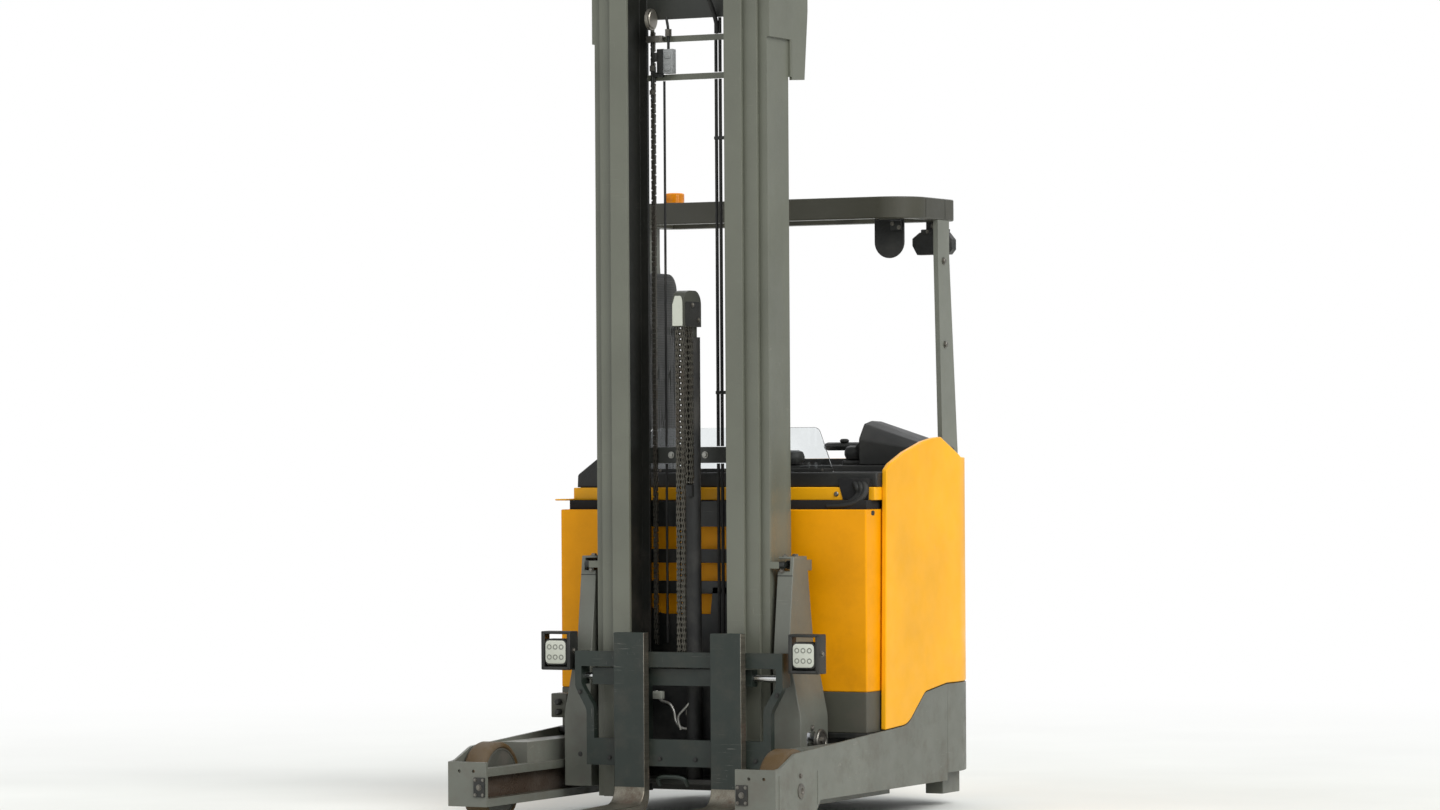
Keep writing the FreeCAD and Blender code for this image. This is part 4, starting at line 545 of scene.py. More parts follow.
def grid_faces(rows: int, columns: int, ring_rows: bool, ring_columns: bool) -> Array:
    """Quads over a grid: point (i, j) joins (i+1, j), (i+1, j+1) and (i, j+1), rings wrapping round.

    Args:
        rows: Points along the first parameter.
        columns: Points along the second parameter.
        ring_rows: Whether the last row joins the first.
        ring_columns: Whether the last column joins the first.
    Returns:
        Four point numbers for each quad.
    """
    i = np.arange(rows if ring_rows else rows - 1)[:, None]
    j = np.arange(columns if ring_columns else columns - 1)[None, :]
    up, along = (i + 1) % rows, (j + 1) % columns
    corners = [i * columns + j, up * columns + j, up * columns + along, i * columns + along]
    return np.stack([np.broadcast_to(c, (i.size, j.size)) for c in corners], -1).reshape(-1, 4)


def rounded_outline(half_a: float, half_b: float, radius: float, steps: int = 3) -> Array:
    """Rectangle with round corners.

    Corner k turns from k quarter turns to k + 1 about a centre set in by the radius, so a point is
    that centre plus the radius times the cosine and sine of the turn.

    Args:
        half_a: Half the first side.
        half_b: Half the second side.
        radius: Corner radius.
        steps: Steps in each corner.
    Returns:
        Points of the outline.
    """
    turn = np.arange(4)[:, None] * (math.pi / 2) + np.linspace(0.0, math.pi / 2, steps + 1)[None, :]
    sign_a, sign_b = np.array([1, -1, -1, 1])[:, None], np.array([1, 1, -1, -1])[:, None]
    a = sign_a * (half_a - radius) + radius * np.cos(turn)
    b = sign_b * (half_b - radius) + radius * np.sin(turn)
    return np.stack([a.ravel(), b.ravel()], -1)


def flowing(points: Sequence[Point], count: int) -> Array:
    """Smooth line through points.

    Each run is a Catmull-Rom cubic: the sum of its four nearest points by the four cubic weights of
    the run's parameter, the ends doubled.

    Args:
        points: Points that the line passes.
        count: Points to give back.
    Returns:
        Points along the line.
    """
    knots = np.asarray(points, float)
    ends = np.vstack([2 * knots[0] - knots[1], knots, 2 * knots[-1] - knots[-2]])
    place = np.linspace(0.0, len(knots) - 1.0, count)
    run = np.minimum(place.astype(int), len(knots) - 2)
    t = (place - run)[:, None]
    weights = [(-t + 2 * t**2 - t**3) / 2, (2 - 5 * t**2 + 3 * t**3) / 2,
               (t + 4 * t**2 - 3 * t**3) / 2, (-t**2 + t**3) / 2]
    return sum(w * ends[run + k] for k, w in enumerate(weights))


class Form:
    """Points and faces of one piece, gathered from several closed surfaces."""

    def __init__(self) -> None:
        """Starts with nothing."""
        self.points: list[Array] = []
        self.faces: list[list[int]] = []
        self.count = 0

    def grid(self, points: Array, ring_rows: bool = False, ring_columns: bool = True,
             caps: bool = True) -> "Form":
        """Adds a grid surface, its open rows closed by a cap.

        Args:
            points: Rows by columns by three.
            ring_rows: Whether the last row joins the first.
            ring_columns: Whether the last column joins the first.
            caps: Whether the first and last rows are filled.
        Returns:
            This form.
        """
        rows, columns = points.shape[:2]
        self.faces += (grid_faces(rows, columns, ring_rows, ring_columns) + self.count).tolist()
        if caps and not ring_rows:
            first = np.arange(columns) + self.count
            self.faces += [first.tolist(), (first + (rows - 1) * columns)[::-1].tolist()]
        self.points.append(points.reshape(-1, 3))
        self.count += rows * columns
        return self

    def block(self, low: Point, high: Point, radius: float = 0.002, corner: float | None = None,
              axis: Axis = Axis.Z, steps: int = 2) -> "Form":
        """Box with rounded edges.

        A rounded outline is carried along the axis; near each end it draws in by the edge radius
        times one minus the sine while it advances by the radius times one minus the cosine.

        Args:
            low: Lowest corner.
            high: Highest corner.
            radius: Radius of the edges at both ends of the axis.
            corner: Radius of the edges along the axis, the same when left out.
            axis: Axis the outline is carried along.
            steps: Steps in each round.
        Returns:
            This form.
        """
        low_corner, high_corner = np.minimum(low, high), np.maximum(low, high)
        middle, half = (low_corner + high_corner) / 2, (high_corner - low_corner) / 2
        order = [(axis.value + 1) % 3, (axis.value + 2) % 3, axis.value]
        a, b, c = half[order]
        corner = min(corner if corner is not None else radius, a * 0.98, b * 0.98)
        radius = min(radius, c * 0.98, a * 0.9, b * 0.9)
        turn = np.linspace(0.0, math.pi / 2, steps + 1)
        inset = radius * (1 - np.sin(turn))
        level = -c + radius * (1 - np.cos(turn))
        insets, levels = np.r_[inset, inset[::-1]], np.r_[level, -level[::-1]]
        rows = [rounded_outline(a - d, b - d, max(corner - d, 1e-5), 3) for d in insets]
        outline = np.stack(rows)
        local = np.concatenate([outline, np.broadcast_to(levels[:, None, None], (*outline.shape[:2], 1))], -1)
        points = np.empty_like(local)
        points[..., order] = local
        return self.grid(points + middle)

    def turned(self, profile: Sequence[Sequence[float]], centre: Point, axis: Axis, sides: int = 32,
               ring: bool = False) -> "Form":
        """Surface of revolution.

        Each profile pair (radius, height) goes to the centre plus the height along the axis plus the
        radius times the cosine and sine of the turn across it.

        Args:
            profile: Pairs of radius and height.
            centre: Where height is 0.
            axis: Axis of the turn.
            sides: Steps in the turn; 6 makes a hexagon.
            ring: Whether the profile closes on itself.
        Returns:
            This form.
        """
        pairs = np.asarray(profile, float)
        turn = np.arange(sides) * (TAU / sides)
        points = np.empty((len(pairs), sides, 3))
        points[..., (axis.value + 1) % 3] = pairs[:, :1] * np.cos(turn)
        points[..., (axis.value + 2) % 3] = pairs[:, :1] * np.sin(turn)
        points[..., axis.value] = np.broadcast_to(pairs[:, 1:], (len(pairs), sides))
        return self.grid(points + np.asarray(centre, float), ring_rows=ring)

    def tube(self, path: Array, radius: float | Array, sides: int = 14, across: Point = (0.31, 0.2, 0.93),
             section: Array | None = None) -> "Form":
        """Tube along a path.

        Each path point carries a section in the plane of two unit vectors: the tangent crossed with a
        fixed direction, and the tangent crossed with that.

        Args:
            path: Points of the path.
            radius: Radius, or one for each point.
            sides: Steps round a circular section.
            across: Fixed direction that is never along the path.
            section: Section points in place of a circle.
        Returns:
            This form.
        """
        path = np.asarray(path, float)
        tangent = np.gradient(path, axis=0)
        tangent /= np.linalg.norm(tangent, axis=1, keepdims=True)
        first = np.cross(tangent, np.asarray(across, float))
        first /= np.linalg.norm(first, axis=1, keepdims=True)
        second = np.cross(tangent, first)
        if section is None:
            turn = np.arange(sides) * (TAU / sides)
            section = np.stack([np.cos(turn), np.sin(turn)], -1)
        size = np.broadcast_to(np.asarray(radius, float), (len(path),))[:, None, None]
        offset = section[None, :, :1] * first[:, None, :] + section[None, :, 1:] * second[:, None, :]
        return self.grid(path[:, None, :] + offset * size)

    def pressed(self, outline: Array, low: float, high: float, axis: Axis, edge: float = 0.0) -> "Form":
        """Flat outline carried straight along an axis.

        Args:
            outline: Points on the two other axes, in their cyclic order.
            low: Start along the axis.
            high: End along the axis.
            edge: Share that the outline shrinks towards its middle at both ends.
        Returns:
            This form.
        """
        middle = outline.mean(0)
        small = middle + (outline - middle) * (1 - edge)
        thick = min(abs(high - low) * 0.3, 0.003)
        rows = [(small, low), (outline, low + thick), (outline, high - thick), (small, high)]
        if not edge:
            rows = [(outline, low), (outline, high)]
        points = np.empty((len(rows), len(outline), 3))
        for row, (flat, level) in enumerate(rows):
            points[row, :, (axis.value + 1) % 3] = flat[:, 0]
            points[row, :, (axis.value + 2) % 3] = flat[:, 1]
            points[row, :, axis.value] = level
        return self.grid(points)

    def bolts(self, places: Iterable[Point], axis: Axis, size: float, towards: int = 1) -> "Form":
        """Hexagon bolt heads on washers.

        The washer is a low turned ring; the head is a six-sided turn whose top is drawn in.

        Args:
            places: Where each bolt meets its surface.
            axis: Axis the bolts stand along.
            size: Half the head's width across corners.
            towards: Sign of the side that the heads stand on.
        Returns:
            This form.
        """
        washer = [(0.0, 0.0), (size * 1.35, 0.0), (size * 1.35, size * 0.2), (0.0, size * 0.2)]
        head = [(0.0, size * 0.18), (size, size * 0.18), (size, size * 0.72), (size * 0.82, size * 0.86),
                (0.0, size * 0.86)]
        for place in places:
            self.turned([(r, h * towards) for r, h in washer], place, axis, 16)
            self.turned([(r, h * towards) for r, h in head], place, axis, 6)
        return self

    def mesh(self, name: str, mirrored: bool = False) -> bpy.types.Mesh:
        """Mesh of the form, doubles merged and faces turned outwards.

        Args:
            name: Name of the mesh.
            mirrored: Whether a copy on the other side of the middle is added.
        Returns:
            The mesh.
        """
        points, faces = np.concatenate(self.points), self.faces
        if mirrored:
            faces = faces + [[p + self.count for p in reversed(f)] for f in faces]
            points = np.concatenate([points, points * (-1.0, 1.0, 1.0)])
        data = bpy.data.meshes.new(name)
        data.from_pydata(points.tolist(), [], faces)
        clean = bmesh.new()
        clean.from_mesh(data)
        bmesh.ops.remove_doubles(clean, verts=clean.verts, dist=2e-6)
        bmesh.ops.recalc_face_normals(clean, faces=clean.faces)
        clean.to_mesh(data)
        clean.free()
        return data


@dataclass
class Assembly:
    """A sub-assembly that makes pieces and gives them a finish and a body."""

    body: str = "chassis"

    def piece(self, name: str, form: Form, finish: Finish, body: str | None = None,
              replaces: Sequence[str] = (), mirrored: bool = False, sharp: float = 38.0) -> bpy.types.Object:
        """Makes an object of a form and lets it ride.

        Args:
            name: Name of the piece.
            form: Its surfaces.
            finish: Its finish.
            body: Body it rides on, the assembly's own when left out.
            replaces: CAD nodes it stands for.
            mirrored: Whether it is on both sides of the middle.
            sharp: Angle in degrees past which an edge stays sharp.
        Returns:
            The object.
        """
        return self.dress(name, form.mesh(name, mirrored), finish, body or self.body, replaces, sharp)

    def dress(self, name: str, data: bpy.types.Mesh, finish: Finish, body: str,
              replaces: Sequence[str] = (), sharp: float = 38.0) -> bpy.types.Object:
        """Turns a mesh into a finished piece.

        Args:
            name: Name of the piece.
            data: Its mesh, in place.
            finish: Its finish.
            body: Body it rides on.
            replaces: CAD nodes it stands for.
            sharp: Angle in degrees past which an edge stays sharp.
        Returns:
            The object.
        """
        data.shade_smooth()
        data.set_sharp_from_angle(angle=math.radians(sharp))
        data.materials.clear()
        data.materials.append(finish.material)
        thing = bpy.data.objects.new(name, data)
        bpy.context.scene.collection.objects.link(thing)
        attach(thing, body)
        if replaces:
            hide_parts(*replaces)
        LOG.info("piece %s: %d faces on %s", name, len(data.polygons), body)
        return thing

    def edged(self, node: str, finish: Finish, width: float = 0.002) -> bpy.types.Object:
        """Copy of a CAD node with its edges rounded, which stands for the node.

        Args:
            node: CAD node.
            finish: Finish of the copy.
            width: Width of the rounded edge.
        Returns:
            The object.
        """
        source = frame["nodes"][node]
        clean = bmesh.new()
        clean.from_mesh(source.data)
        bmesh.ops.remove_doubles(clean, verts=clean.verts, dist=1e-5)
        bmesh.ops.dissolve_limit(clean, angle_limit=math.radians(0.5), verts=clean.verts, edges=clean.edges,
                                 use_dissolve_boundaries=False)
        data = bpy.data.meshes.new(node + "_dressed")
        clean.to_mesh(data)
        clean.free()
        thing = self.dress(node + "_dressed", data, finish, source["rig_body"], (node,), 34.0)
        bevel = thing.modifiers.new("edge", "BEVEL")
        bevel.width, bevel.segments, bevel.limit_method = width, 2, "ANGLE"
        bevel.angle_limit = math.radians(40.0)
        bevel.use_clamp_overlap = True
        bevel.harden_normals = False
        return thing

    def coat(self, finish: Finish, *nodes: str) -> None:
        """Gives CAD nodes a finish as they stand."""
        for node in nodes:
            for holder in frame["nodes"][node].material_slots:
                holder.material = finish.material

    def build(self) -> None:
        """Makes every piece of the sub-assembly."""
        raise NotImplementedError


# ---- sub-assemblies ------------------------------------------------------------------------


@dataclass
class LoadWheels(Assembly):
    """Load wheels: moulded tread on a steel hub, with the nuts on the hub."""

    radius: float = 0.1425
    inner: float = 0.530
    outer: float = 0.618
    rim: float = 0.121
    axle: tuple[float, float] = (-0.3375, 0.1425)

    def build(self) -> None:
        """Turns treads and hubs, one of each on both sides."""
        a, b, r, h = self.inner, self.outer, self.radius, self.rim
        tread = [(h, a + 0.004), (h + 0.005, a), (r - 0.011, a + 0.001), (r - 0.004, a + 0.005),
                 (r, a + 0.014), (r, b - 0.014), (r - 0.004, b - 0.005), (r - 0.011, b - 0.001),
                 (h + 0.005, b), (h, b - 0.004)]
        hub = [(h, a + 0.004), (h - 0.006, a + 0.002), (h - 0.010, a + 0.012), (0.060, a + 0.014),
               (0.052, a + 0.004), (0.036, a + 0.003), (0.034, a + 0.008), (0.0, a + 0.008)]
        hub += [(radius, a + b - x) for radius, x in reversed(hub)]
        for side in Side:
            x, name = side.value, side.name.lower()
            centre, body = (0.0, *self.axle), f"load_wheel_{name}"
            for part, profile, ring, finish in (("tread", tread, True, TREAD), ("hub", hub, False, HUB_GREY)):
                form = Form().turned([(p, q * x) for p, q in profile], centre, Axis.X, 64, ring)
                self.piece(f"{body}_{part}", form, finish, body, (body,))
            turn = np.arange(6) * (TAU / 6)
            spots = np.stack([np.full(6, x * (b - 0.0135)), self.axle[0] + 0.074 * np.cos(turn),
                              self.axle[1] + 0.074 * np.sin(turn)], -1)
            self.piece(f"{body}_nuts", Form().bolts(spots, Axis.X, 0.008, x), BOLT, body)


@dataclass
class SupportArms(Assembly):
    """Support arms with their nose plates, roller tracks and wheel axle ends."""

    nose: float = -0.533
    track_low: float = 0.098
    track_high: float = 0.175
    axle: tuple[float, float] = (-0.3375, 0.1425)

    def build(self) -> None:
        """Rounds the arms' edges, then adds tracks, plates and fasteners on both sides."""
        for side in Side:
            self.edged(f"support_arm_{side.name.lower()}", FRAME_GREY, 0.003)
        tracks = Form()
        tracks.block((0.484, self.nose + 0.02, self.track_low), (0.507, 0.60, self.track_low + 0.0006),
                     0.0003)
        tracks.block((0.484, self.nose + 0.02, self.track_high - 0.0006), (0.507, 0.60, self.track_high),
                     0.0003)
        self.piece("arm_tracks", tracks, ROLLED, mirrored=True)
        web = Form().block((0.5125, self.nose + 0.02, self.track_low + 0.001),
                           (0.5138, 0.60, self.track_high - 0.001), 0.0005)
        self.piece("arm_web_grease", web, Plastic("channel_grease", "frame_paint", "3a2f26", gloss=0.3,
                                                  grain=160.0, depth=0.001, dusty=0.5), mirrored=True)
        plate = Form().block((0.487, self.nose - 0.005, 0.104), (0.531, self.nose + 0.001, 0.172), 0.0015,
                             axis=Axis.Y)
        self.piece("arm_end_plates", plate, SATIN_BLACK, mirrored=True)
        spots = [(x, self.nose - 0.005, z) for x in (0.494, 0.524) for z in (0.112, 0.164)]
        ends = Form().bolts(spots, Axis.Y, 0.0045, -1).bolts([(0.509, self.nose - 0.005, 0.138)], Axis.Y,
                                                             0.008, -1)
        self.piece("arm_end_bolts", ends, BOLT, mirrored=True)
        y, z = self.axle
        cap = Form().turned([(0.0, 0.0), (0.026, 0.0), (0.026, 0.003), (0.023, 0.005), (0.011, 0.005),
                             (0.009, 0.001), (0.0, 0.001)], (0.635, y, z), Axis.X, 40)
        cap.bolts([(0.635, y - 0.004, z + 0.052)], Axis.X, 0.007)
        self.piece("axle_caps", cap, BOLT, mirrored=True)
        seams = Form()
        for place in (-0.505, -0.2075):
            path = flowing([(0.6352, place, 0.09), (0.6353, place + 0.001, 0.15), (0.6352, place, 0.205)], 24)
            ripple = 1.0 + 0.18 * np.sin(np.arange(24) * 2.1)
            seams.tube(path, 0.0022 * ripple, 8)
        self.piece("arm_weld_seams", seams, FRAME_GREY, mirrored=True)


@dataclass
class Stabilisers(Assembly):
    """Stabiliser feet and the frame between the arms."""

    def build(self) -> None:
        """Rounds the plates' edges and presses slots into the feet."""
        for node in ("stabiliser_feet", "rear_skirt"):
            self.edged(node, FRAME_GREY, 0.003)
        self.edged("base_frame", SATIN_BLACK, 0.003)
        low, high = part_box("stabiliser_feet")
        slots = Form()
        for y in (low.y + 0.035, high.y - 0.035):
            outline = rounded_outline(0.007, 0.028, 0.0068, 6) + (y, (low.z + high.z) / 2)
            slots.pressed(outline, high.x - 0.0004, high.x + 0.0006, Axis.X)
        self.piece("foot_slots", slots, Plastic("slot_shadow", "frame_paint", "141414", gloss=0.8),
                   mirrored=True)


@dataclass
class Battery(Assembly):
    """Battery block in its tray, between the yellow panels, under its lid."""

    def build(self) -> None:
        """Rounds and lines the panels, and adds the painted shadow of the lid gap, black patches of painted
        shade in the lifting holes and the lid's bolt.
        """
        self.edged("battery", BATTERY_YELLOW, 0.004)
        for node in ("side_panel_right", "side_panel_left", "rear_door", "battery_lid"):
            self.edged(node, BODY_YELLOW, 0.004)
        self.line_panel(bpy.data.objects["side_panel_left_dressed"], 0, 1)
        self.line_panel(bpy.data.objects["rear_door_dressed"], 1, -1)
        self.edged("battery_case", CASE_GREY, 0.003)
        self.edged("bulkhead", SATIN_BLACK, 0.002)
        gap = Form().block((-0.586, 0.272, 1.0905), (0.600, 0.598, 1.1235), 0.001)
        self.piece("lid_gap", gap, Plastic("gap_shadow", "black_plastic", "0b0a09", gloss=0.9, dusty=0.05))
        # Black patches on the side panel, mirrored to the other side, paint the shade inside the battery's
        # lifting holes.
        hole = Form().pressed(rounded_outline(0.014, 0.0085, 0.0084, 8) + (0.304, 1.078), 0.6094, 0.6106,
                              Axis.X)
        self.piece("battery_lift_holes", hole, BLACK, mirrored=True)
        bolt = Form().turned([(0.0, 0.0), (0.009, 0.0), (0.009, -0.003), (0.006, -0.006), (0.0, -0.006)],
                             (0.466, 0.3105, 1.145), Axis.Y, 24)
        self.piece("lid_bolt", bolt, BOLT)


    @staticmethod
    def line_panel(thing: bpy.types.Object, axis: int, sign: int) -> None:
        """Gives a panel's inner face a black lining.

        Args:
            thing: Dressed panel.
            axis: Column of the face's normal.
            sign: Which way the inner face looks.
        """
        thing.data.materials.append(HOOD.material)
        normals = np.empty(len(thing.data.polygons) * 3)
        thing.data.polygons.foreach_get("normal", normals)
        inner = normals.reshape(-1, 3)[:, axis] * sign > 0.7
        thing.data.polygons.foreach_set("material_index", inner.astype(np.int32))


@dataclass
class Console(Assembly):
    """Console over the battery with its cables, screen, desk, hood and controls."""

    cable: float = 0.0098

    def build(self) -> None:
        """Rounds the plastic shells and adds the shoulder, screen, cables and controls."""
        for node, width in (("console", 0.005), ("steering_desk", 0.005), ("instrument_hood", 0.006)):
            self.edged(node, HOOD, width)
        self.lower_side(bpy.data.objects["instrument_hood_dressed"])
        self.edged("driver_floor", RUBBER, 0.002)
        outline = np.array([[1.1705, -0.584], [1.2120, -0.582], [1.2180, -0.578], [1.2700, -0.506],
                            [1.2755, -0.494],
                            [1.2755, -0.44], [1.20, -0.43], [1.1705, -0.46]])
        self.piece("console_shoulder", Form().pressed(outline, 0.3285, 0.6315, Axis.Y, 0.01), HOOD)
        self.screen()
        self.cables()
        self.controls()

    @staticmethod
    def lower_side(thing: bpy.types.Object) -> None:
        """Lets the hood's top fall towards the right panel, in front of the post.

        The fall is 75 mm times the share of the width to the power 1.6, times the share of the height
        above the desk, which leaves the foot in place.

        Args:
            thing: Dressed hood.
        """
        count = len(thing.data.vertices) * 3
        points = np.empty(count)
        thing.data.vertices.foreach_get("co", points)
        points = points.reshape(-1, 3)
        low, high = points.min(0), points.max(0)
        share = (points - low) / (high - low)
        foot = np.clip((share[:, 2] - 0.2) / 0.8, 0.0, 1.0)
        points[:, 2] -= 0.075 * share[:, 0] ** 1.6 * foot
        thing.data.vertices.foreach_set("co", points.ravel())

    def screen(self) -> None:
        """Clear screen with its clamp strip."""
        self.edged("screen", SHEET, 0.0012)
        strip = Form().block((-0.34, 0.4365, 1.222), (0.39, 0.4455, 1.236), 0.0012, axis=Axis.X)
        self.piece("screen_clamp", strip, BLACK)
        spots = [(x, 0.4365, 1.229) for x in np.linspace(-0.30, 0.35, 6)]
        self.piece("screen_screws", Form().bolts(spots, Axis.Y, 0.004, -1), BOLT)

    def cables(self) -> None:
        """Thick battery cables, each a tube on a smooth line out of the recess and down behind the lid."""
        outline = np.array([[1.1245, 0.492], [1.1245, 0.592], [1.2005, 0.595], [1.2005, 0.470]])
        recess = Form().pressed(outline, 0.3065, 0.3115, Axis.Y, 0.02)
        recess.pressed(outline, 0.3225, 0.3285, Axis.Y, 0.02)
        self.piece("cable_recess", recess, Plastic("recess_shadow", "black_plastic", "0c0c0d", gloss=0.9))
        looms = Form()
        for shift in range(3):
            s, back = shift * 0.017, shift * 0.009
            points = [(0.566 - s, 0.318, 1.186), (0.584 - s, 0.300, 1.170), (0.588 - s, 0.288 + back, 1.150),
                      (0.572 - s, 0.282 + back, 1.126), (0.538 - s, 0.278 + back, 1.110),
                      (0.496 - s, 0.276 + back, 1.1035), (0.446 - s, 0.278 + back, 1.1025)]
            looms.tube(flowing(points, 60), self.cable, 14, (0.1, 1.0, 0.1))
        self.piece("battery_cables", looms, RUBBER)
        collar = Form()
        for shift in range(3):
            x = 0.566 - shift * 0.017
            collar.turned([(0.0, 0.0), (0.0125, 0.0), (0.0125, -0.012), (0.0, -0.012)], (x, 0.3245, 1.186),
                          Axis.Y, 20)
        self.piece("cable_collars", collar, BLACK)

    def controls(self) -> None:
        """Handwheel with its knob, the levers and the display on the desk and hood."""
        low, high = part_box("handwheel")
        centre = (low + high) / 2
        reach, z = (high.x - low.x) / 2, high.z - 0.016
        turn = np.arange(8) * (TAU / 8)
        rim = np.stack([reach - 0.0155 + 0.015 * np.cos(turn), 0.015 * np.sin(turn)], -1)
        wheel = Form().turned(rim.tolist(), (centre.x, centre.y, z), Axis.Z, 56, ring=True)
        wheel.turned([(0.0, low.z - z), (0.030, low.z - z), (0.034, -0.030), (0.040, -0.012), (0.038, -0.004),
                      (0.0, 0.002)], (centre.x, centre.y, z), Axis.Z, 32)
        flat = rounded_outline(1.0, 0.32, 0.3, 3)
        for angle in (math.radians(90), math.radians(210), math.radians(330)):
            share = np.linspace(0.0, 1.0, 14)[:, None]
            out = np.array([math.cos(angle), math.sin(angle), 0.0])
            path = (centre.x, centre.y, z) + out * (0.030 + share * (reach - 0.042)) + (0, 0,
                                                                                        -0.012) * (1 - share)
            wheel.tube(path, np.linspace(0.017, 0.012, 14), across=(0.0, 0.0, 1.0), section=flat)
        self.piece("handwheel_rim", wheel, BLACK, "handwheel", ("handwheel",))
        knob = Form().turned([(0.0, 0.0), (0.008, 0.0), (0.009, 0.003), (0.016, 0.006), (0.017, 0.012),
                              (0.012, 0.017), (0.0, 0.018)], (centre.x, centre.y - reach + 0.016, z + 0.010),
                              Axis.Z, 28)
        self.piece("handwheel_knob", knob, BLACK, "handwheel")
        lever = Form()
        for y in (0.70, 0.76, 0.82):
            lever.block((0.388, y - 0.014, 1.286), (0.401, y + 0.014, 1.300), 0.003)
            path = flowing([(0.394, y, 1.294), (0.378, y, 1.303), (0.366, y, 1.316)], 12)
            lever.tube(path, np.linspace(0.006, 0.011, 12), 12, (0.0, 1.0, 0.0))
        self.piece("hood_levers", lever, BLACK)
        pad = Form().block((0.300, 0.690, 1.244), (0.386, 0.760, 1.262), 0.006, 0.02)
        pad.block((0.306, 0.692, 1.260), (0.380, 0.752, 1.316), 0.022, 0.028)
        self.piece("desk_lever_head", pad, BLACK)
        pod = Form().block((0.060, 0.660, 1.2445), (0.150, 0.735, 1.300), 0.022, 0.034)
        self.piece("desk_display", pod, BLACK)
        face = Form().block((0.074, 0.7335, 1.252), (0.136, 0.7365, 1.286), 0.001, 0.008, Axis.Y)
        self.piece("desk_display_face", face, MIRROR_DARK)


@dataclass
class Seat(Assembly):
    """Seat base, cushion and tall backrest beside the driver's legs."""

    def cushion(self, name: str, node: str, axis: Axis, lines: Sequence[float], crown: float) -> None:
        """Upholstered pad.

        A rounded outline is drawn in from its full size to its middle. The height follows a superellipse,
        so the face is flat and rolls over at the edge, with a low dome on it; a bell-shaped groove
        sinks each stitched line, and a fine wave puckers the cloth next to it.

        Args:
            name: Name of the piece.
            node: CAD node that it stands for.
            axis: Axis of its thickness.
            lines: Places of the stitched lines along the pad's length, from -1 to 1.
            crown: Height of the dome.
        """
        low, high = (np.array(v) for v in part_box(node))
        middle, half = (low + high) / 2, (high - low) / 2 - 0.002
        order = [(axis.value + 1) % 3, (axis.value + 2) % 3, axis.value]
        a, b, c = half[order]
        rings = 44
        turn = np.linspace(-math.pi / 2, math.pi / 2, 2 * rings + 1)
        draw = np.abs(np.cos(turn)) ** 0.2
        rise = np.sign(np.sin(turn)) * np.abs(np.sin(turn)) ** 0.34
        centre_rows = np.linspace(0.0, 0.90, 26)
        draw = np.concatenate([centre_rows * draw[7], draw[7:-7], centre_rows[::-1] * draw[-8]])
        rise = np.concatenate([np.full(26, rise[7]), rise[7:-7], np.full(26, rise[-8])])
        outline = rounded_outline(a, b, min(a, b) * 0.35, 12)
        fine = np.linspace(0, len(outline), 260, endpoint=False)
        ringed = np.vstack([outline, outline[:1]])
        outline = np.stack([np.interp(fine, np.arange(len(ringed)), ringed[:, k]) for k in (0, 1)], -1)
        flat = outline[None] * draw[:, None, None]
        share_a, share_b = flat[..., 0] / a, flat[..., 1] / b
        dome = crown * (1 - share_a**2) * (1 - share_b**4)
        long_share = share_b if b > a else share_a
        length = max(a, b)
        groove = sum(np.exp(-((long_share - line) * length / 0.007) ** 2) for line in lines)
        pucker = sum(np.exp(-((long_share - line) * length / 0.03) ** 2) for line in lines)
        border = np.exp(-((np.maximum(np.abs(share_a), np.abs(share_b)) - 0.86) * length / 0.02) ** 2) * 0.5
        wave = 0.0012 * np.sin((share_a if b > a else share_b) * 46.0) * pucker
        height = (c - crown) * rise[:, None] + np.sign(rise)[:, None] * np.abs(rise[:, None]) * (
            dome - 0.008 * groove - 0.004 * border + wave)
        local = np.concatenate([flat, height[..., None]], -1)
        points = np.empty_like(local)
        points[..., order] = local
        thing = self.piece(name, Form().grid(points + middle), CLOTH, replaces=(node,), sharp=70.0)
        smooth = thing.modifiers.new("smooth", "SUBSURF")
        smooth.levels = smooth.render_levels = 1

    def build(self) -> None:
        """Makes the pads and their base."""
        self.edged("seat_base", SATIN_BLACK, 0.004)
        self.cushion("seat_pad", "seat_cushion", Axis.Z, (-0.1,), 0.010)
        self.cushion("back_pad", "backrest", Axis.X, (-0.62, -0.3, 0.02, 0.34, 0.62), 0.008)


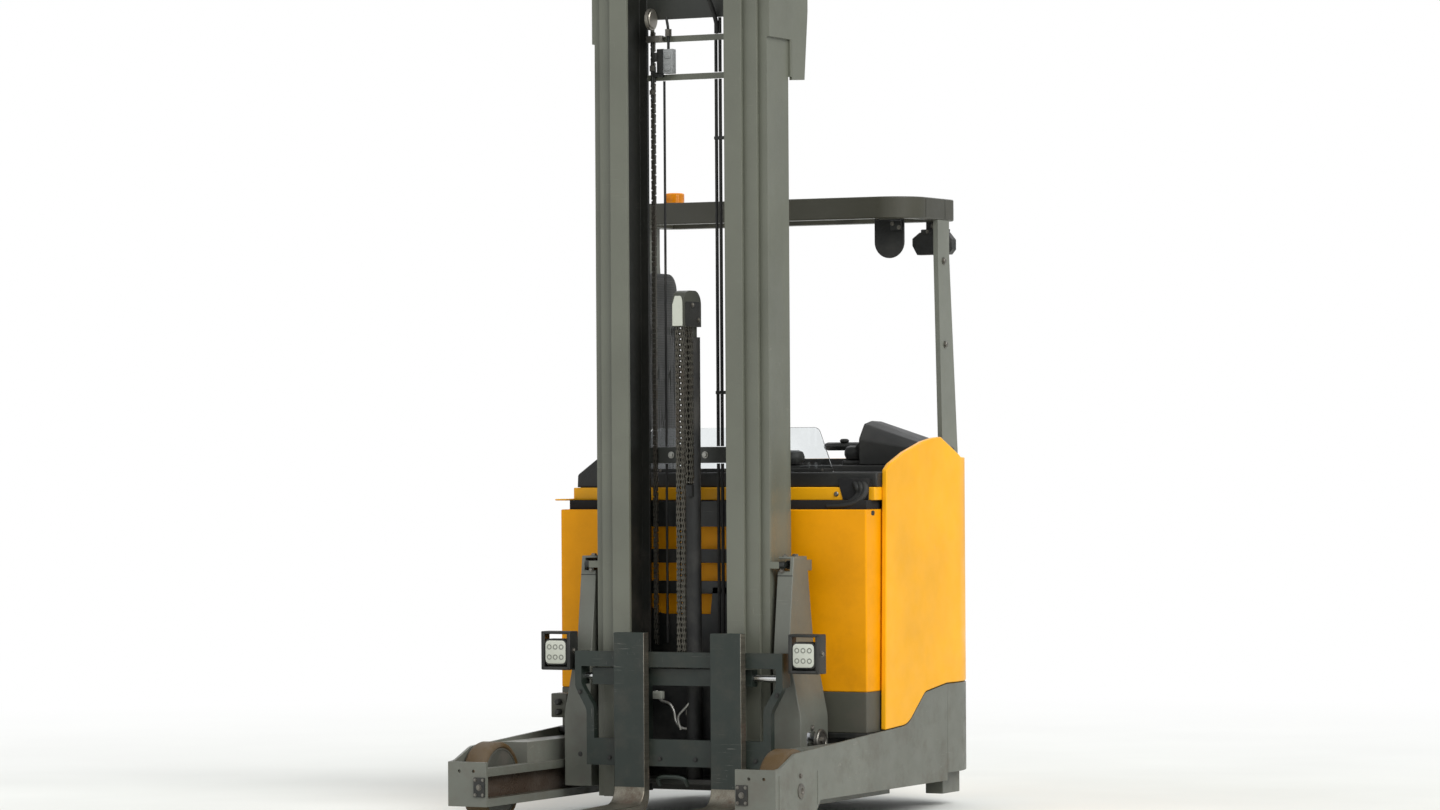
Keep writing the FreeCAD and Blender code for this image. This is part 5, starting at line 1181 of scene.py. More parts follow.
@dataclass
class OverheadGuard(Assembly):
    """Overhead guard on its posts, with beacon, mirror and lamp."""

    beacon: tuple[float, float] = (-0.402, 0.759)

    def build(self) -> None:
        """Rounds bars and posts and adds every fitting."""
        # Rim and posts wear one paint: the rim takes a darker copy as painted shade, the posts a lighter copy
        # as painted light.
        self.edged("overhead_guard", GUARD_PAINTED_SHADE_GREY, 0.004)
        self.edged("guard_posts", POST_PAINTED_LIGHT_GREY, 0.003)
        self.lights()
        mirror = Form()
        outline = self.half_round(0.118, 0.140)
        mirror.pressed(outline + (1.992, 0.404), 0.770, 0.7795, Axis.Y, 0.04)
        mirror.block((0.404, 0.7705, 2.125), (0.424, 0.779, 2.150), 0.002)
        self.piece("mirror_shell", mirror, BLACK, replaces=("guard_fittings",))
        glass = Form().pressed(self.half_round(0.104, 0.126) + (1.999, 0.411), 0.7790, 0.7805, Axis.Y, 0.01)
        self.piece("mirror_glass", glass, MIRROR)
        clamp = Form().block((0.470, 0.762, 2.092), (0.516, 0.7705, 2.128), 0.002, axis=Axis.Y)
        self.piece("mirror_clamp", clamp, BLACK)
        screws = Form().bolts([(0.480, 0.762, 2.116), (0.506, 0.762, 2.102)], Axis.Y, 0.006, -1)
        screws.bolts([(0.6035, 0.935, 1.984), (0.6035, 0.945, 1.681)], Axis.X, 0.010)
        self.piece("guard_screws", screws, BOLT)
        seams = Form()
        for y in (0.785, 0.952):
            seams.block((0.6028, y, 2.136), (0.6036, y + 0.0022, 2.206), 0.0004)
        self.piece("guard_seams", seams, SATIN_BLACK, mirrored=True)

    @staticmethod
    def half_round(width: float, height: float) -> Array:
        """Outline with square upper corners and a round lower edge, in height and width order.

        Args:
            width: Size across.
            height: Size from top to bottom.
        Returns:
            Outline points.
        """
        turn = np.linspace(math.pi, TAU, 25)
        a = width / 2 + (width / 2) * np.cos(turn)
        b = height * 0.42 + height * 0.42 * np.sin(turn)
        return np.vstack([np.stack([b, a], -1), [[height, width], [height, 0.0]]])

    def lights(self) -> None:
        """Beacon of base, ribbed lens and cap, and the cab lamp with its bracket."""
        x, y = self.beacon
        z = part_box("beacon")[0].z
        base = Form().turned([(0.0, 0.001), (0.0365, 0.001), (0.0365, 0.022), (0.034, 0.025), (0.0, 0.025)],
                             (x, y, z), Axis.Z, 40)
        self.piece("beacon_base", base, BLACK)
        level = np.linspace(0.025, 0.055, 30)
        rib = 0.0352 + 0.0006 * np.cos(level * 1500.0)
        lens = [(0.0, 0.025), *zip(rib, level), (0.0345, 0.058), (0.031, 0.0605), (0.012, 0.0615),
                (0.0, 0.062)]
        self.piece("beacon_lens", Form().turned(lens, (x, y, z), Axis.Z, 48), AMBER, replaces=("beacon",))
        outline = np.array([[2.012, 0.452], [2.012, 0.578], [2.030, 0.593], [2.066, 0.593], [2.094, 0.570],
                            [2.094, 0.462], [2.072, 0.433], [2.046, 0.433]])
        case = Form().pressed(outline, 1.034, 1.074, Axis.Y, 0.05)
        case.block((0.462, 1.052, 2.094), (0.570, 1.072, 2.106), 0.003)
        case.block((0.483, 1.048, 2.100), (0.545, 1.058, 2.136), 0.002)
        case.block((0.470, 1.030, 2.088), (0.556, 1.036, 2.104), 0.002, axis=Axis.Y)
        self.piece("cab_lamp_case", case, BLACK)
        lens_plate = Form().block((0.459, 1.0725, 2.022), (0.571, 1.0758, 2.082), 0.0015, 0.008, Axis.Y)
        self.piece("cab_lamp_lens", lens_plate, LENS)
        bolts = Form().bolts([(0.514, 1.047, 2.118)], Axis.Y, 0.008, -1).bolts([(0.497, 1.029, 2.097)],
                                                                               Axis.Y, 0.005, -1)
        self.piece("cab_lamp_bolts", bolts, BOLT)


@dataclass
class ReachCarriage(Assembly):
    """Reach carriage: frame, cheeks, rollers, cylinder and the blocks beside them."""

    body: str = "reach_carriage"

    def build(self) -> None:
        """Rounds the castings and adds pins, bolts and hydraulic blocks."""
        self.edged("cheeks", FRAME_GREY, 0.003)
        self.edged("carriage_frame", SATIN_BLACK, 0.003)
        self.coat(WORN, "reach_rollers")
        self.coat(ROD, "reach_rod")
        self.edged("reach_cylinder", SATIN_BLACK, 0.001)
        self.edged("tilt_barrels", SATIN_BLACK, 0.001)
        self.edged("tilt_rods", SATIN_BLACK, 0.001)
        pins = Form()
        pins.turned([(0.0, -0.02), (0.041, -0.02), (0.041, 0.0065), (0.038, 0.0095), (0.030, 0.0095),
                     (0.028, 0.0070),
                     (0.0, 0.0070)], (0.468, 0.1625, 0.283), Axis.X, 48)
        self.piece("pivot_pins", pins, BOLT, mirrored=True)
        plate = Form().block((0.4680, 0.052, 0.243), (0.4708, 0.121, 0.318), 0.001, 0.008, Axis.X)
        self.piece("pivot_plates", plate, ROD, mirrored=True)
        caps = Form().turned([(0.0, 0.006), (0.014, 0.006), (0.014, 0.012), (0.009, 0.0145), (0.0, 0.0145)],
                             (0.4690, 0.1625, 0.283), Axis.X, 6)
        caps.bolts([(0.469, y, z) for y, z in ((0.095, 0.330), (0.205, 0.245))], Axis.X, 0.008)
        caps.bolts([(x, y, 0.929) for x, y in ((0.378, 0.075), (0.402, 0.112), (0.378, 0.15))], Axis.Z, 0.009)
        caps.bolts([(x, 0.049, z) for x, z in ((0.378, 0.88), (0.402, 0.80), (0.378, 0.72))], Axis.Y, 0.007,
                   -1)
        self.piece("cheek_bolts", caps, BOLT, mirrored=True)
        seam = Form().block((0.3605, 0.0478, 0.861), (0.4195, 0.0495, 0.8635), 0.0005)
        self.piece("cheek_seams", seam, SATIN_BLACK, mirrored=True)
        block = Form().block((-0.535, 0.030, 0.352), (-0.470, 0.090, 0.438), 0.004)
        self.piece("valve_block", block, CASE_GREY)
        knobs = Form()
        for z in (0.372, 0.408):
            knobs.turned([(0.0, 0.0), (0.011, 0.0), (0.012, -0.018), (0.008, -0.024), (0.0, -0.024)],
                         (-0.500, 0.030, z), Axis.Y, 20)
        self.piece("valve_knobs", knobs, BLACK)
        lines = Form()
        for x, drop in ((0.33, 0.0), (0.352, 0.02)):
            path = flowing([(x + 0.018, 0.226, 0.84 - drop), (x + 0.018, 0.226, 0.80),
                            (x + 0.020, 0.226, 0.55),
                            (x + 0.016, 0.228, 0.34), (x, 0.236, 0.24), (x - 0.05, 0.30, 0.17)], 70)
            lines.tube(path, 0.0075, 12, (1.0, 0.1, 0.1))
        self.piece("carriage_pipes", lines, RUBBER, mirrored=True)


@dataclass
class Mast(Assembly):
    """Three nested mast stages with rollers, cylinders, chains, pipes and head fittings."""

    pitch: float = 0.0190

    def build(self) -> None:
        """Rounds the profiles and adds what runs inside them."""
        for node in ("outer_mast", "middle_mast", "inner_mast"):
            self.edged(node, MAST_GREY, 0.002)
        self.shade(bpy.data.objects["outer_mast_dressed"], 0.0440, 0.3285)
        self.shade(bpy.data.objects["middle_mast_dressed"], 0.0235, 0.2850)
        self.shade(bpy.data.objects["inner_mast_dressed"], 0.0025, 0.2605)
        ties = Form().bolts([(-0.104, 0.1448, 1.286), (0.031, 0.1448, 1.286)], Axis.Y, 0.009, -1)
        self.piece("tie_bolts", ties, PIPE, "inner_mast")
        self.shields()
        self.coat(SATIN_BLACK, "lift_cylinders")
        self.coat(RUBBER, "free_lift_cylinder")
        self.coat(ROD, "lift_rods")
        self.coat(WORN, "middle_rollers", "inner_rollers", "carriage_rollers")
        self.tracks()
        self.chains()
        self.head()
        self.lines()

    @staticmethod
    def shade(thing: bpy.types.Object, front: float, side: float) -> None:
        """Paints shade on a stage's inner faces, nearly black, and on its ties, dark grey.

        A face is inside when its middle is behind the front flange and nearer the truck's middle than
        the web's outer face, ties being those nearer than the flanges' lips.

        Args:
            thing: Dressed stage.
            front: Rear of the front flange.
            side: Outer face of the web.
        """
        data = thing.data
        data.materials.append(PAINTED_SHADE_GREY.material)
        data.materials.append(TIE_PAINTED_SHADE_GREY.material)
        data.materials.append(SATIN_BLACK.material)
        centre = np.empty(len(data.polygons) * 3)
        data.polygons.foreach_get("center", centre)
        x, y, z = centre.reshape(-1, 3).T
        inside = (y > front) & (np.abs(x) < side)
        tie = inside & (np.abs(x) < 0.150)
        bars = tie & (z > 2.60) & (z < 2.80)
        # The tie band from 0.95 m to 1.2 m is painted black as the shadow of the gap behind it; the lugs
        # beside the upper pins, outside the webs, are drawn black as well.
        black = (tie & (z > 0.95) & (z < 1.2)) | ((np.abs(x) > 0.342) & (z > 0.85) & (z < 0.93))
        index = np.where(black, 3, np.where(bars, 0, np.where(tie, 2, np.where(inside, 1, 0))))
        data.polygons.foreach_set("material_index", index.astype(np.int32))

    def shields(self) -> None:
        """Black cross bars and the lower plate behind the mast, and the filled joints of its head plates."""
        bars = Form().block((-0.285, 0.2005, 0.902), (0.285, 0.2085, 0.951), 0.002)
        bars.block((-0.285, 0.2005, 0.792), (0.285, 0.2085, 0.838), 0.002)
        turn = np.linspace(0.0, math.pi / 2, 14)
        arc = np.stack([0.815 - 0.095 * np.sin(turn), -0.250 + 0.095 * (1 - np.cos(turn))], -1)
        outline = np.vstack([[[0.50, -0.285], [0.815, -0.285]], arc,
                             [[0.720, 0.02], [0.815, 0.03], [0.815, 0.285], [0.50, 0.285]]])
        bars.pressed(outline, 0.2005, 0.2075, Axis.Y)
        self.piece("mast_shields", bars, SATIN_BLACK, "outer_mast")
        fill = Form().block((0.3295, 0.1985, 2.615), (0.3505, 0.2095, 3.045), 0.001)
        self.piece("head_plate_fill", fill, MAST_GREY, "outer_mast", mirrored=True)

    def tracks(self) -> None:
        """Bright strips that the rollers wear on the flanges' inner faces, 0.3 mm proud."""
        strips = Form()
        strips.block((0.196, 0.0017, 0.30), (0.216, 0.0023, 2.95), 0.0003)
        strips.block((0.196, 0.1447, 0.30), (0.216, 0.1453, 2.95), 0.0003)
        self.piece("inner_mast_wear", strips, ROLLED_UP, "inner_mast", mirrored=True)
        outer = Form().block((0.247, 0.0227, 0.30), (0.266, 0.0233, 2.95), 0.0003)
        outer.block((0.247, 0.1637, 0.30), (0.266, 0.1643, 2.95), 0.0003)
        self.piece("middle_mast_wear", outer, ROLLED_UP, "middle_mast", mirrored=True)

    def link_rows(self, x: float, width: float, path: Array, plates: int) -> Form:
        """Leaf chain.

        Link k spans path points k and k + 1; its outline is twelve listed points, two rounds drawn
        together at the waist, scaled by the pitch. Odd and even links take turns across the width.

        Args:
            x: Middle of the chain across the truck.
            width: Width over the plates.
            path: Pin centres as Y and Z.
            plates: Plates across the width.
        Returns:
            The chain's form.
        """
        form = Form()
        along = np.diff(path, axis=0)
        size = np.linalg.norm(along, axis=1)
        along = along / size[:, None]
        across = np.stack([-along[:, 1], along[:, 0]], -1)
        middle = (path[1:] + path[:-1]) / 2
        a = np.array([0.92, 0.72, 0.28, -0.28, -0.72, -0.92, -0.92, -0.72, -0.28, 0.28, 0.72, 0.92])
        b = np.array([0.16, 0.38, 0.27, 0.27, 0.38, 0.16, -0.16, -0.38, -0.27, -0.27, -0.38, -0.16])
        pitch = self.link_pitch(path)
        outline = (middle[:, None, :] + along[:, None, :] * (a * pitch)[None, :, None]
                   + across[:, None, :] * (b * pitch)[None, :, None])
        step = width / plates
        links, spots = len(outline), len(a)
        for plate in range(plates):
            rows = outline[plate % 2::2]
            left = x - width / 2 + plate * step + step * 0.14
            sheets = np.empty((2, len(rows), spots, 3))
            sheets[..., 1:] = rows
            sheets[0, ..., 0], sheets[1, ..., 0] = left, left + step * 0.72
            base = form.count
            number = np.arange(len(rows) * spots).reshape(len(rows), spots) + base
            other = number + number.size
            side = np.stack([number, np.roll(number, -1, 1), np.roll(other, -1, 1), other], -1).reshape(-1, 4)
            form.faces += side.tolist() + number[:, ::-1].tolist() + other.tolist()
            form.points.append(sheets.reshape(-1, 3))
            form.count += 2 * number.size
        LOG.info("chain of %d links", links)
        return form

    @staticmethod
    def link_pitch(path: Array) -> float:
        """Mean distance between pins."""
        return float(np.linalg.norm(np.diff(path, axis=0), axis=1).mean())

    def chains(self) -> None:
        """Front chain over the sheave, and the pair of chains beside the inner mast."""
        low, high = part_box("lift_chain")
        x = (low.x + high.x) / 2
        sheave_low, sheave_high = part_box("chain_sheave")
        centre = np.array([(sheave_low.y + sheave_high.y) / 2, (sheave_low.z + sheave_high.z) / 2])
        reach = (high.y - low.y) / 2 - 0.004
        count = int((centre[1] - low.z) / self.pitch)
        front = np.stack([np.full(count, centre[0] - reach), np.linspace(low.z + 0.01, centre[1], count)], -1)
        turn = np.linspace(math.pi, 0.0, 7)[1:-1]
        arch = centre + reach * np.stack([np.cos(turn), np.sin(turn)], -1)
        back_count = int((centre[1] - 1.19) / self.pitch)
        back = np.stack([np.full(back_count, centre[0] + reach), np.linspace(centre[1], 1.19, back_count)],
                        -1)
        route = np.vstack([front, arch, back])
        form = self.link_rows(x - 0.0095, 0.0145, route, 4)
        other = self.link_rows(x + 0.0095, 0.0145, route, 4)
        self.piece("front_chain", form, CHAIN, "free_lift_head", ("lift_chain",))
        self.piece("front_chain_second", other, CHAIN, "free_lift_head", ("lift_chain",))
        pins = Form()
        for y, z in route:
            pins.turned([(0.0, -0.0174), (0.0028, -0.0174), (0.0028, 0.0174), (0.0, 0.0174)], (x, y, z),
                        Axis.X, 8)
        self.piece("front_chain_pins", pins, BOLT, "free_lift_head")
        count = int(2.30 / self.pitch)
        path = np.stack([np.full(count, 0.1365), np.linspace(0.62, 2.80, count)], -1)
        rear = self.link_rows(0.163, 0.016, path, 4)
        self.piece("side_chains", rear, CHAIN, "inner_mast", mirrored=True)
        self.edged("chain_sheave", WORN, 0.001)
        self.edged("free_lift_rod", HEAD_GREY, 0.002)

    def head(self) -> None:
        """Sheave, sensors and hose ends at the mast's head."""
        wheels = Form().turned([(0.0, -0.011), (0.030, -0.011), (0.033, -0.008), (0.028, -0.005),
                                (0.028, 0.005),
                                (0.033, 0.008), (0.030, 0.011), (0.0, 0.011)], (-0.154, 0.104, 2.832),
                                Axis.X, 36)
        wheels.turned([(0.034, -0.006), (0.038, -0.006), (0.038, 0.006), (0.034, 0.006)],
                      (-0.154, 0.104, 2.832), Axis.X, 40, True)
        self.piece("head_pulley", wheels, WORN, "inner_mast")
        sensor = Form().block((-0.142, 0.122, 2.640), (-0.114, 0.144, 2.728), 0.003)
        sensor.block((-0.162, 0.122, 2.684), (-0.142, 0.140, 2.716), 0.003)
        sensor.block((-0.168, 0.126, 2.628), (-0.120, 0.138, 2.646), 0.002)
        sensor.block((-0.168, 0.128, 2.610), (-0.152, 0.140, 2.668), 0.003)
        self.piece("head_sensor", sensor, BLACK, "inner_mast")
        box = Form().block((-0.113, 0.116, 2.639), (-0.075, 0.144, 2.726), 0.002)
        box.block((-0.106, 0.112, 2.650), (-0.083, 0.117, 2.668), 0.001)
        box.block((-0.106, 0.112, 2.694), (-0.083, 0.117, 2.714), 0.001)
        self.piece("head_junction", box, PALE, "inner_mast")
        rods = Form().tube(flowing([(-0.163, 0.130, 2.545), (-0.163, 0.130, 2.64), (-0.163, 0.130, 2.755)],
                                   6),
                           0.0045, 12, (1.0, 0.1, 0.0))
        rods.tube(flowing([(-0.098, 0.130, 2.726), (-0.098, 0.130, 2.76), (-0.099, 0.130, 2.80),
                           (-0.106, 0.130, 2.84)],
                          12), 0.005, 12, (1.0, 0.1, 0.0))
        self.piece("head_rods", rods, SATIN_BLACK, "inner_mast")
        nuts = Form().turned([(0.0, -0.012), (0.013, -0.012), (0.013, 0.012), (0.0, 0.012)],
                             (-0.098, 0.130, 2.785),
                             Axis.Z, 6)
        nuts.turned([(0.0, -0.008), (0.012, -0.008), (0.012, 0.008), (0.0, 0.008)], (-0.163, 0.130, 2.575),
                    Axis.Z, 6)
        nuts.turned([(0.0, -0.010), (0.011, -0.010), (0.011, 0.010), (0.0, 0.010)], (-0.163, 0.130, 2.66),
                    Axis.Z, 6)
        nuts.block((-0.185, 0.120, 2.752), (-0.120, 0.142, 2.776), 0.003)
        self.piece("head_nuts", nuts, BOLT, "inner_mast")

    def lines(self) -> None:
        """Pipes that rise beside the inner mast, in their clips."""
        pipes = Form()
        for low, high in ((0.62, 1.255), (1.316, 2.615), (2.64, 2.752), (2.776, 2.832)):
            for x, size in ((-0.1255, 0.0045), (0.081, 0.006), (0.097, 0.006)):
                if x > 0 or high < 2.70:
                    path = flowing([(x, 0.150, low), (x, 0.150, (low + high) / 2), (x, 0.150, high)], 8)
                    pipes.tube(path, size, 12, (1.0, 0.1, 0.0))
        arch = flowing([(0.088, 0.150, 2.776), (0.086, 0.135, 2.83), (0.075, 0.10, 2.90),
                        (0.070, 0.05, 2.92)], 30)
        pipes.tube(arch, 0.008, 12, (1.0, 0.1, 0.0))
        self.piece("mast_pipes", pipes, RUBBER, "inner_mast")
        clips = Form()
        for z in (1.50, 2.40):
            clips.block((0.074, 0.143, z), (0.194, 0.157, z + 0.012), 0.002)
        self.piece("mast_clips", clips, SATIN_BLACK, "inner_mast")


@dataclass
class FreeLiftHead(Assembly):
    """Plates of the free lift head round its sheave."""

    body: str = "free_lift_head"

    def build(self) -> None:
        """Adds the pale front plate, a black plate of painted shade in the side opening, and the bolts."""
        turn = np.linspace(0.0, math.pi / 2, 10)
        arch = np.stack([1.8130 + 0.030 * np.sin(turn), 0.0455 + 0.010 * np.cos(turn) * 1.0], -1)
        outline = np.vstack([[[1.738, 0.0165]], arch[:1] * 0 + [[1.738, 0.0555]], arch, [[1.843, 0.030]],
                             [[1.843, 0.0265], [1.813, 0.0165]]])
        plate = Form().pressed(outline, -0.0735, -0.0708, Axis.Y, 0.01)
        self.piece("head_front_plate", plate, PALE_FACE)
        # A thin black plate on the head's side paints the shade inside its opening.
        inside = Form().block((0.0575, -0.056, 1.7375), (0.0588, 0.056, 1.824), 0.0004, 0.008, Axis.X)
        self.piece("head_side_opening", inside, BLACK)
        bolts = Form().bolts([(0.0585, 0.0, 1.812), (0.0585, 0.045, 1.760)], Axis.X, 0.007)
        self.piece("head_bolts", bolts, BOLT)


@dataclass
class ForkCarriage(Assembly):
    """Lift carriage, side shift frame, forks and the hydraulic lines behind them."""

    body: str = "side_shift"

    def build(self) -> None:
        """Rounds the plates and forks and adds wear, bolts, pipes and handle."""
        self.edged("shift_frame", FORK_BLACK, 0.002)
        self.edged("forks", FORK_BLACK, 0.003)
        self.edged("lift_carriage", FORK_BLACK, 0.002)
        self.coat(ROD, "shift_rod")
        self.wear(bpy.data.objects["forks_dressed"])
        spots = [(x, -0.0885, z) for x in (-0.352, 0.424) for z in (0.232, 0.452)]
        spots += [(x, -0.0885, z) for x in (-0.235, -0.035, 0.105, 0.34) for z in (0.222,)]
        self.piece("shift_bolts", Form().bolts(spots, Axis.Y, 0.0065, -1), SATIN_BLACK)
        self.hydraulics()

    @staticmethod
    def wear(thing: bpy.types.Object) -> None:
        """Bares the metal of the fork blades and heels, where pallets rub them.

        Args:
            thing: Dressed forks.
        """
        data = thing.data
        data.materials.append(WORN_FORK.material)
        centre = np.empty(len(data.polygons) * 3)
        data.polygons.foreach_get("center", centre)
        _, y, z = centre.reshape(-1, 3).T
        data.polygons.foreach_set("material_index", ((z < 0.122) & (y < -0.1262)).astype(np.int32))

    def hydraulics(self) -> None:
        """Bent pipes, fittings and blocks seen through the window, a black plate behind them as painted
        shade, and the low handle.
        """
        pipes = Form()
        low_line = [(-0.118, 0.047, 0.452), (-0.097, 0.040, 0.421), (-0.060, 0.036, 0.408),
                    (-0.042, 0.036, 0.380),
                    (-0.036, 0.036, 0.350), (-0.018, 0.036, 0.328), (0.006, 0.036, 0.322),
                    (0.028, 0.036, 0.332),
                    (0.040, 0.038, 0.362), (0.042, 0.040, 0.385)]
        second = [(0.030, 0.030, 0.440), (0.024, 0.026, 0.415), (0.010, 0.026, 0.398), (-0.014, 0.026, 0.374),
                  (-0.022, 0.028, 0.352), (-0.014, 0.032, 0.318)]
        pipes.tube(flowing(low_line, 80), 0.0052, 12, (0.1, 1.0, 0.1))
        pipes.tube(flowing(second, 50), 0.0048, 12, (0.1, 1.0, 0.1))
        self.piece("carriage_window_pipes", pipes, PIPE, "lift_carriage")
        # A black plate behind the window paints the shade seen through it.
        back = Form().block((-0.186, 0.0800, 0.205), (0.186, 0.0825, 0.475), 0.001)
        self.piece("carriage_window_back", back, RUBBER, "lift_carriage")
        block = Form().block((-0.128, 0.034, 0.424), (-0.092, 0.060, 0.452), 0.003)
        self.piece("carriage_window_block", block, PALE_FACE, "lift_carriage")
        nuts = Form()
        for x, z, size in ((0.014, 0.380, 0.012), (0.042, 0.381, 0.012), (0.043, 0.441, 0.011)):
            nuts.turned([(0.0, -0.009), (size, -0.009), (size, 0.009), (0.0, 0.009)], (x, 0.040, z), Axis.Z,
                        6)
        self.piece("carriage_window_nuts", nuts, BOLT, "lift_carriage")
        grip = flowing([(-0.055, -0.052, 0.128), (-0.052, -0.070, 0.150), (-0.030, -0.076, 0.158),
                        (0.0, -0.077, 0.159),
                        (0.030, -0.076, 0.158), (0.052, -0.070, 0.150), (0.055, -0.052, 0.128)], 60)
        self.piece("low_handle", Form().tube(grip, 0.007, 12, (0.0, 0.3, 1.0)), FORK_BLACK)


@dataclass
class WorkLamps(Assembly):
    """Work lamps in slotted brackets at both ends of the side shift frame."""

    body: str = "side_shift"
    centres: tuple[float, float] = (-0.452, 0.524)

    def build(self) -> None:
        """Brackets, cases, lenses and lights of both lamps."""
        low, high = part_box("work_lamps")
        brackets, cases, lenses, lights, screws = Form(), Form(), Form(), Form(), Form()
        z = (low.z + high.z) / 2
        front = low.y
        for x in self.centres:
            for edge in (-1, 1):
                brackets.block((x + edge * 0.0585, front + 0.004, low.z + 0.002),
                               (x + edge * 0.0555, high.y, high.z - 0.002), 0.001)
                brackets.block((x + edge * 0.0585, front + 0.002, low.z + 0.002),
                               (x + edge * 0.0445, front + 0.012, high.z - 0.002), 0.004, axis=Axis.Z)
            brackets.block((x - 0.058, front + 0.034, low.z), (x + 0.058, high.y, low.z + 0.004), 0.001)
            brackets.block((x - 0.058, front + 0.002, low.z), (x + 0.058, front + 0.014, low.z + 0.012),
                           0.004, axis=Axis.X)
            brackets.block((x - 0.058, high.y - 0.004, low.z), (x + 0.058, high.y, low.z + 0.05), 0.001)
            brackets.block((x - 0.058, front + 0.002, high.z - 0.010), (x + 0.058, high.y, high.z), 0.003,
                           axis=Axis.X)
            cases.block((x - 0.0455, front + 0.004, z - 0.052), (x + 0.0455, front + 0.050, z + 0.042),
                        0.006, 0.016, Axis.Y)
            lenses.block((x - 0.040, front + 0.0008, z - 0.046), (x + 0.040, front + 0.006, z + 0.036),
                         0.002, 0.014, Axis.Y)
            spots_x, spots_z = np.meshgrid([-0.024, 0.0, 0.024], [-0.018, 0.018])
            for dx, dz in zip(spots_x.ravel(), spots_z.ravel()):
                lights.turned([(0.0, 0.0), (0.0095, 0.0), (0.0095, -0.0012), (0.0080, -0.0010),
                               (0.004, 0.0002),
                               (0.0, 0.0008)], (x + dx, front + 0.0010, z + dz - 0.005), Axis.Y, 20)
            screws.bolts([(x - 0.0578, front + 0.030, z)], Axis.X, 0.008, -1)
            screws.bolts([(x + 0.0578, front + 0.030, z)], Axis.X, 0.008)
        self.piece("lamp_brackets", brackets, BLACK, replaces=("work_lamps",))
        self.piece("lamp_cases", cases, SATIN_BLACK)
        self.piece("lamp_faces", lenses, PALE_FACE)
        self.piece("lamp_lights", lights, LED)
        self.piece("lamp_screws", screws, BOLT)


@dataclass
class DriveUnit(Assembly):
    """Drive wheel, gear and motor under the desk."""

    body: str = "drive_wheel"

    def build(self) -> None:
        """Turns the drive tyre and hub and rounds the gear case."""
        low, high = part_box("drive_wheel")
        centre = (low + high) / 2
        r, half = (high.z - low.z) / 2, (high.x - low.x) / 2
        tyre = [(r - 0.04, -half + 0.004), (r - 0.012, -half), (r - 0.004, -half + 0.004), (r, -half + 0.012),
                (r, half - 0.012), (r - 0.004, half - 0.004), (r - 0.012, half), (r - 0.04, half - 0.004)]
        hub = [(0.0, -half + 0.012), (0.05, -half + 0.012), (0.06, -half + 0.020), (r - 0.05, -half + 0.018),
               (r - 0.04, -half + 0.004), (r - 0.04, half - 0.004), (r - 0.05, half - 0.018),
               (0.06, half - 0.020),
               (0.05, half - 0.012), (0.0, half - 0.012)]
        self.piece("drive_tyre", Form().turned(tyre, centre, Axis.X, 72, True), TREAD,
                   replaces=("drive_wheel",))
        self.piece("drive_hub", Form().turned(hub, centre, Axis.X, 64), SATIN_BLACK)
        self.edged("drive_gear", SATIN_BLACK, 0.003)
        self.edged("drive_motor", SATIN_BLACK, 0.002)


@dataclass
class RearEnd(Assembly):
    """Fittings of the rear door: latch, hinges and vents."""

    def build(self) -> None:
        """Presses vent slats and adds latch and hinges."""
        low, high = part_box("rear_door")
        vents = Form()
        for z in np.arange(8) * 0.024 + 0.56:
            vents.pressed(rounded_outline(0.005, 0.15, 0.0048, 5) + (z, 0.0), high.y - 0.0004,
                          high.y + 0.0008, Axis.Y)
        self.piece("door_vents", vents, BLACK)
        latch = Form().block((0.235, high.y - 0.001, 0.95), (0.290, high.y + 0.006, 1.03), 0.002, 0.012,
                             Axis.Y)
        latch.block((0.252, high.y + 0.004, 0.965), (0.273, high.y + 0.012, 1.015), 0.003, 0.006, Axis.Y)
        hinges = Form()
        for z in (0.58, 1.14):
            hinges.turned([(0.0, 0.0), (0.009, 0.0), (0.009, 0.07), (0.0, 0.07)],
                          (low.x - 0.001, high.y + 0.003, z),
                          Axis.Z, 20)
        self.piece("door_latch", latch, BLACK)
        self.piece("door_hinges", hinges, SATIN_BLACK)


# ---- camera, floor and light ---------------------------------------------------------------


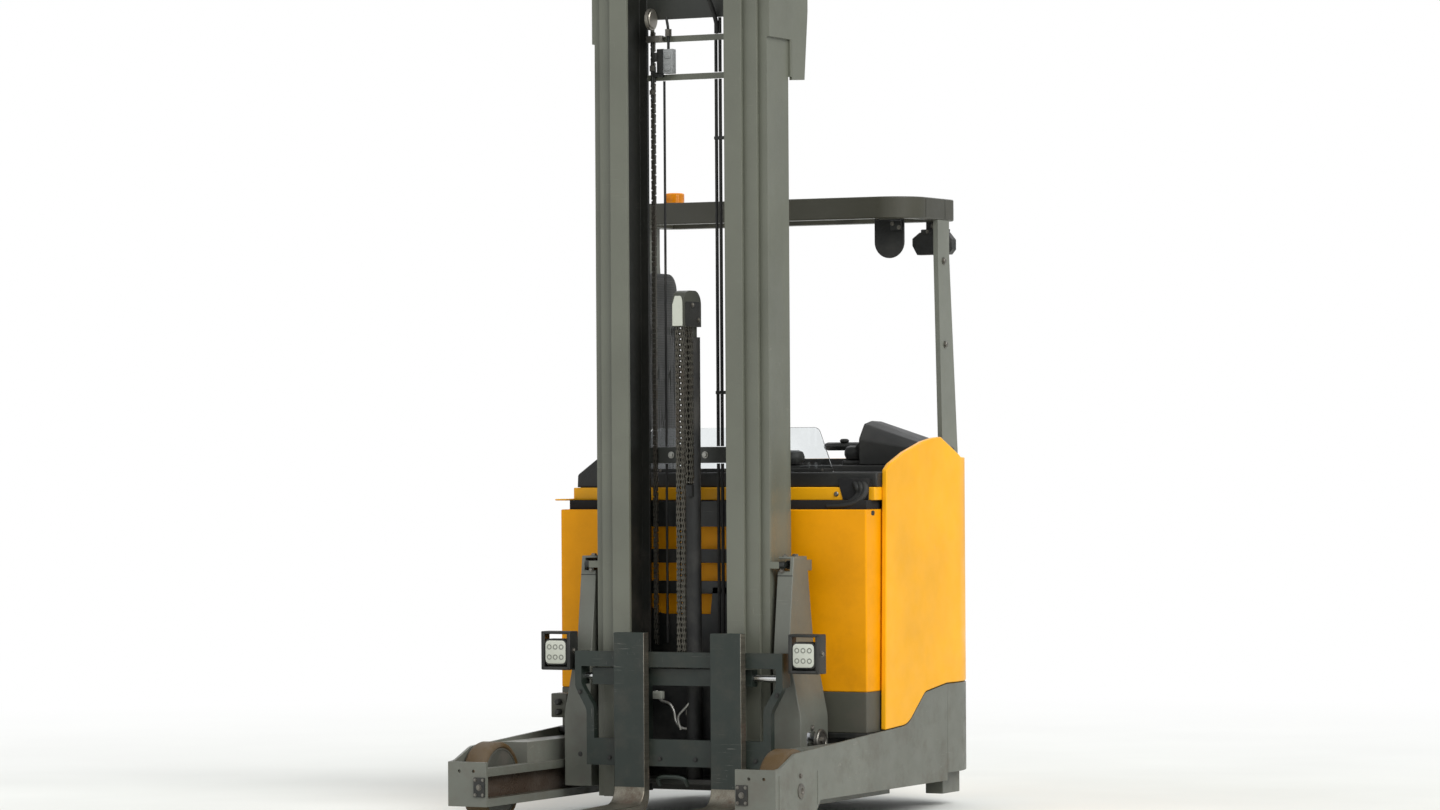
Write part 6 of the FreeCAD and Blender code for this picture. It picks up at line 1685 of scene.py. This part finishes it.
@dataclass
class Studio:
    """Camera, pale floor and soft light."""

    distance: float = 17.45
    angle: float = 27.0
    height: float = 1.31
    roll: float = -0.0061
    lens: float = 122.5
    key: float = 2.5
    fill: float = 0.56

    def build(self) -> None:
        """Makes the camera, the floor and the lights."""
        self.camera()
        self.floor()
        self.lights()
        bpy.context.scene.view_settings.view_transform = "Standard"

    def camera(self) -> None:
        """Long lens at the truck's right-hand front, level, with a small shift."""
        data = bpy.data.cameras.new("camera")
        camera = bpy.data.objects.new("camera", data)
        bpy.context.scene.collection.objects.link(camera)
        data.sensor_width, data.lens = 36.0, self.lens
        turn = math.radians(self.angle)
        data.shift_x, data.shift_y = 9.5 / 1440.0, 43.0 / 1440.0
        place = (self.distance * math.sin(turn), -self.distance * math.cos(turn) + 0.2475, self.height)
        camera.matrix_world = (Matrix.Translation(place) @ Matrix.Rotation(turn, 4, "Z")
                               @ Matrix.Rotation(math.radians(90.0), 4, "X") @ Matrix.Rotation(self.roll, 4,
                                                                                               "Z"))
        bpy.context.scene.camera = camera

    def floor(self) -> None:
        """Pale floor that fades into the background with distance from the truck."""
        size = 40.0
        data = bpy.data.meshes.new("floor")
        corners = [(-size, -size, 0.0), (size, -size, 0.0), (size, size, 0.0), (-size, size, 0.0)]
        data.from_pydata(corners, [], [(0, 1, 2, 3)])
        ground = bpy.data.objects.new("floor", data)
        bpy.context.scene.collection.objects.link(ground)
        recipe = Recipe("pale_floor")
        nodes, links = recipe.nodes, recipe.links
        tone = recipe.blend(recipe.span(recipe.noise(0.8, 3.0), 0.3, 0.7), linear("dfe0da"), linear("e6e7e1"))
        links.new(tone, recipe.shader.inputs["Base Color"])
        recipe.set(Roughness=0.9, Specular_IOR_Level=0.1)
        length = nodes.new("ShaderNodeVectorMath")
        length.operation = "LENGTH"
        links.new(recipe.place, length.inputs[0])
        far = recipe.span(length.outputs["Value"], 2.6, 8.5)
        glow = nodes.new("ShaderNodeEmission")
        glow.inputs["Color"].default_value = (1.0, 1.0, 1.0, 1.0)
        mix = nodes.new("ShaderNodeMixShader")
        links.new(far, mix.inputs[0])
        links.new(recipe.shader.outputs[0], mix.inputs[1])
        links.new(glow.outputs[0], mix.inputs[2])
        rays = nodes.new("ShaderNodeLightPath")
        seen = recipe.plus(rays.outputs["Is Camera Ray"], rays.outputs["Is Transmission Ray"])
        choose = nodes.new("ShaderNodeMixShader")
        links.new(recipe.span(seen, 0.0, 1.0), choose.inputs[0])
        links.new(recipe.shader.outputs[0], choose.inputs[1])
        links.new(mix.outputs[0], choose.inputs[2])
        links.new(choose.outputs[0], nodes["Material Output"].inputs["Surface"])
        data.materials.append(recipe.material)

    def lights(self) -> None:
        """Large soft lamps, and a background that is white where it is seen."""
        world = bpy.data.worlds.new("world")
        bpy.context.scene.world = world
        world.use_nodes = True
        nodes, links = world.node_tree.nodes, world.node_tree.links
        dim = nodes["Background"]
        dim.inputs["Color"].default_value = (0.93, 0.95, 1.0, 1.0)
        dim.inputs["Strength"].default_value = self.fill
        white = nodes.new("ShaderNodeBackground")
        white.inputs["Color"].default_value = (1.0, 1.0, 1.0, 1.0)
        rays = nodes.new("ShaderNodeLightPath")
        seen = nodes.new("ShaderNodeMath")
        seen.operation = "MAXIMUM"
        links.new(rays.outputs["Is Camera Ray"], seen.inputs[0])
        links.new(rays.outputs["Is Transmission Ray"], seen.inputs[1])
        mix = nodes.new("ShaderNodeMixShader")
        links.new(seen.outputs[0], mix.inputs[0])
        links.new(dim.outputs[0], mix.inputs[1])
        links.new(white.outputs[0], mix.inputs[2])
        links.new(mix.outputs[0], nodes["World Output"].inputs["Surface"])
        for name, turn, strength, spread in (("key", (52.0, 0.0, 60.0), self.key, 40.0),
                                             ("side", (62.0, 0.0, -40.0), self.key * 0.16, 60.0),
                                             ("rear", (55.0, 0.0, 200.0), self.key * 0.3, 60.0)):
            data = bpy.data.lights.new(name, "SUN")
            data.energy, data.angle = strength, math.radians(spread)
            lamp = bpy.data.objects.new(name, data)
            lamp.rotation_euler = [math.radians(a) for a in turn]
            bpy.context.scene.collection.objects.link(lamp)


def main() -> None:
    """Builds the assemblies in order."""
    logging.basicConfig(level=logging.INFO, format="%(name)s %(message)s")
    Studio().build()
    for assembly in (LoadWheels(), SupportArms(), Stabilisers(), Battery(), Console(), Seat(),
                     OverheadGuard(),
                     ReachCarriage(), Mast(), FreeLiftHead(), ForkCarriage(), WorkLamps(), DriveUnit(),
                     RearEnd()):
        LOG.info("building %s", type(assembly).__name__)
        assembly.build()


if __name__ == "__main__":
    main()
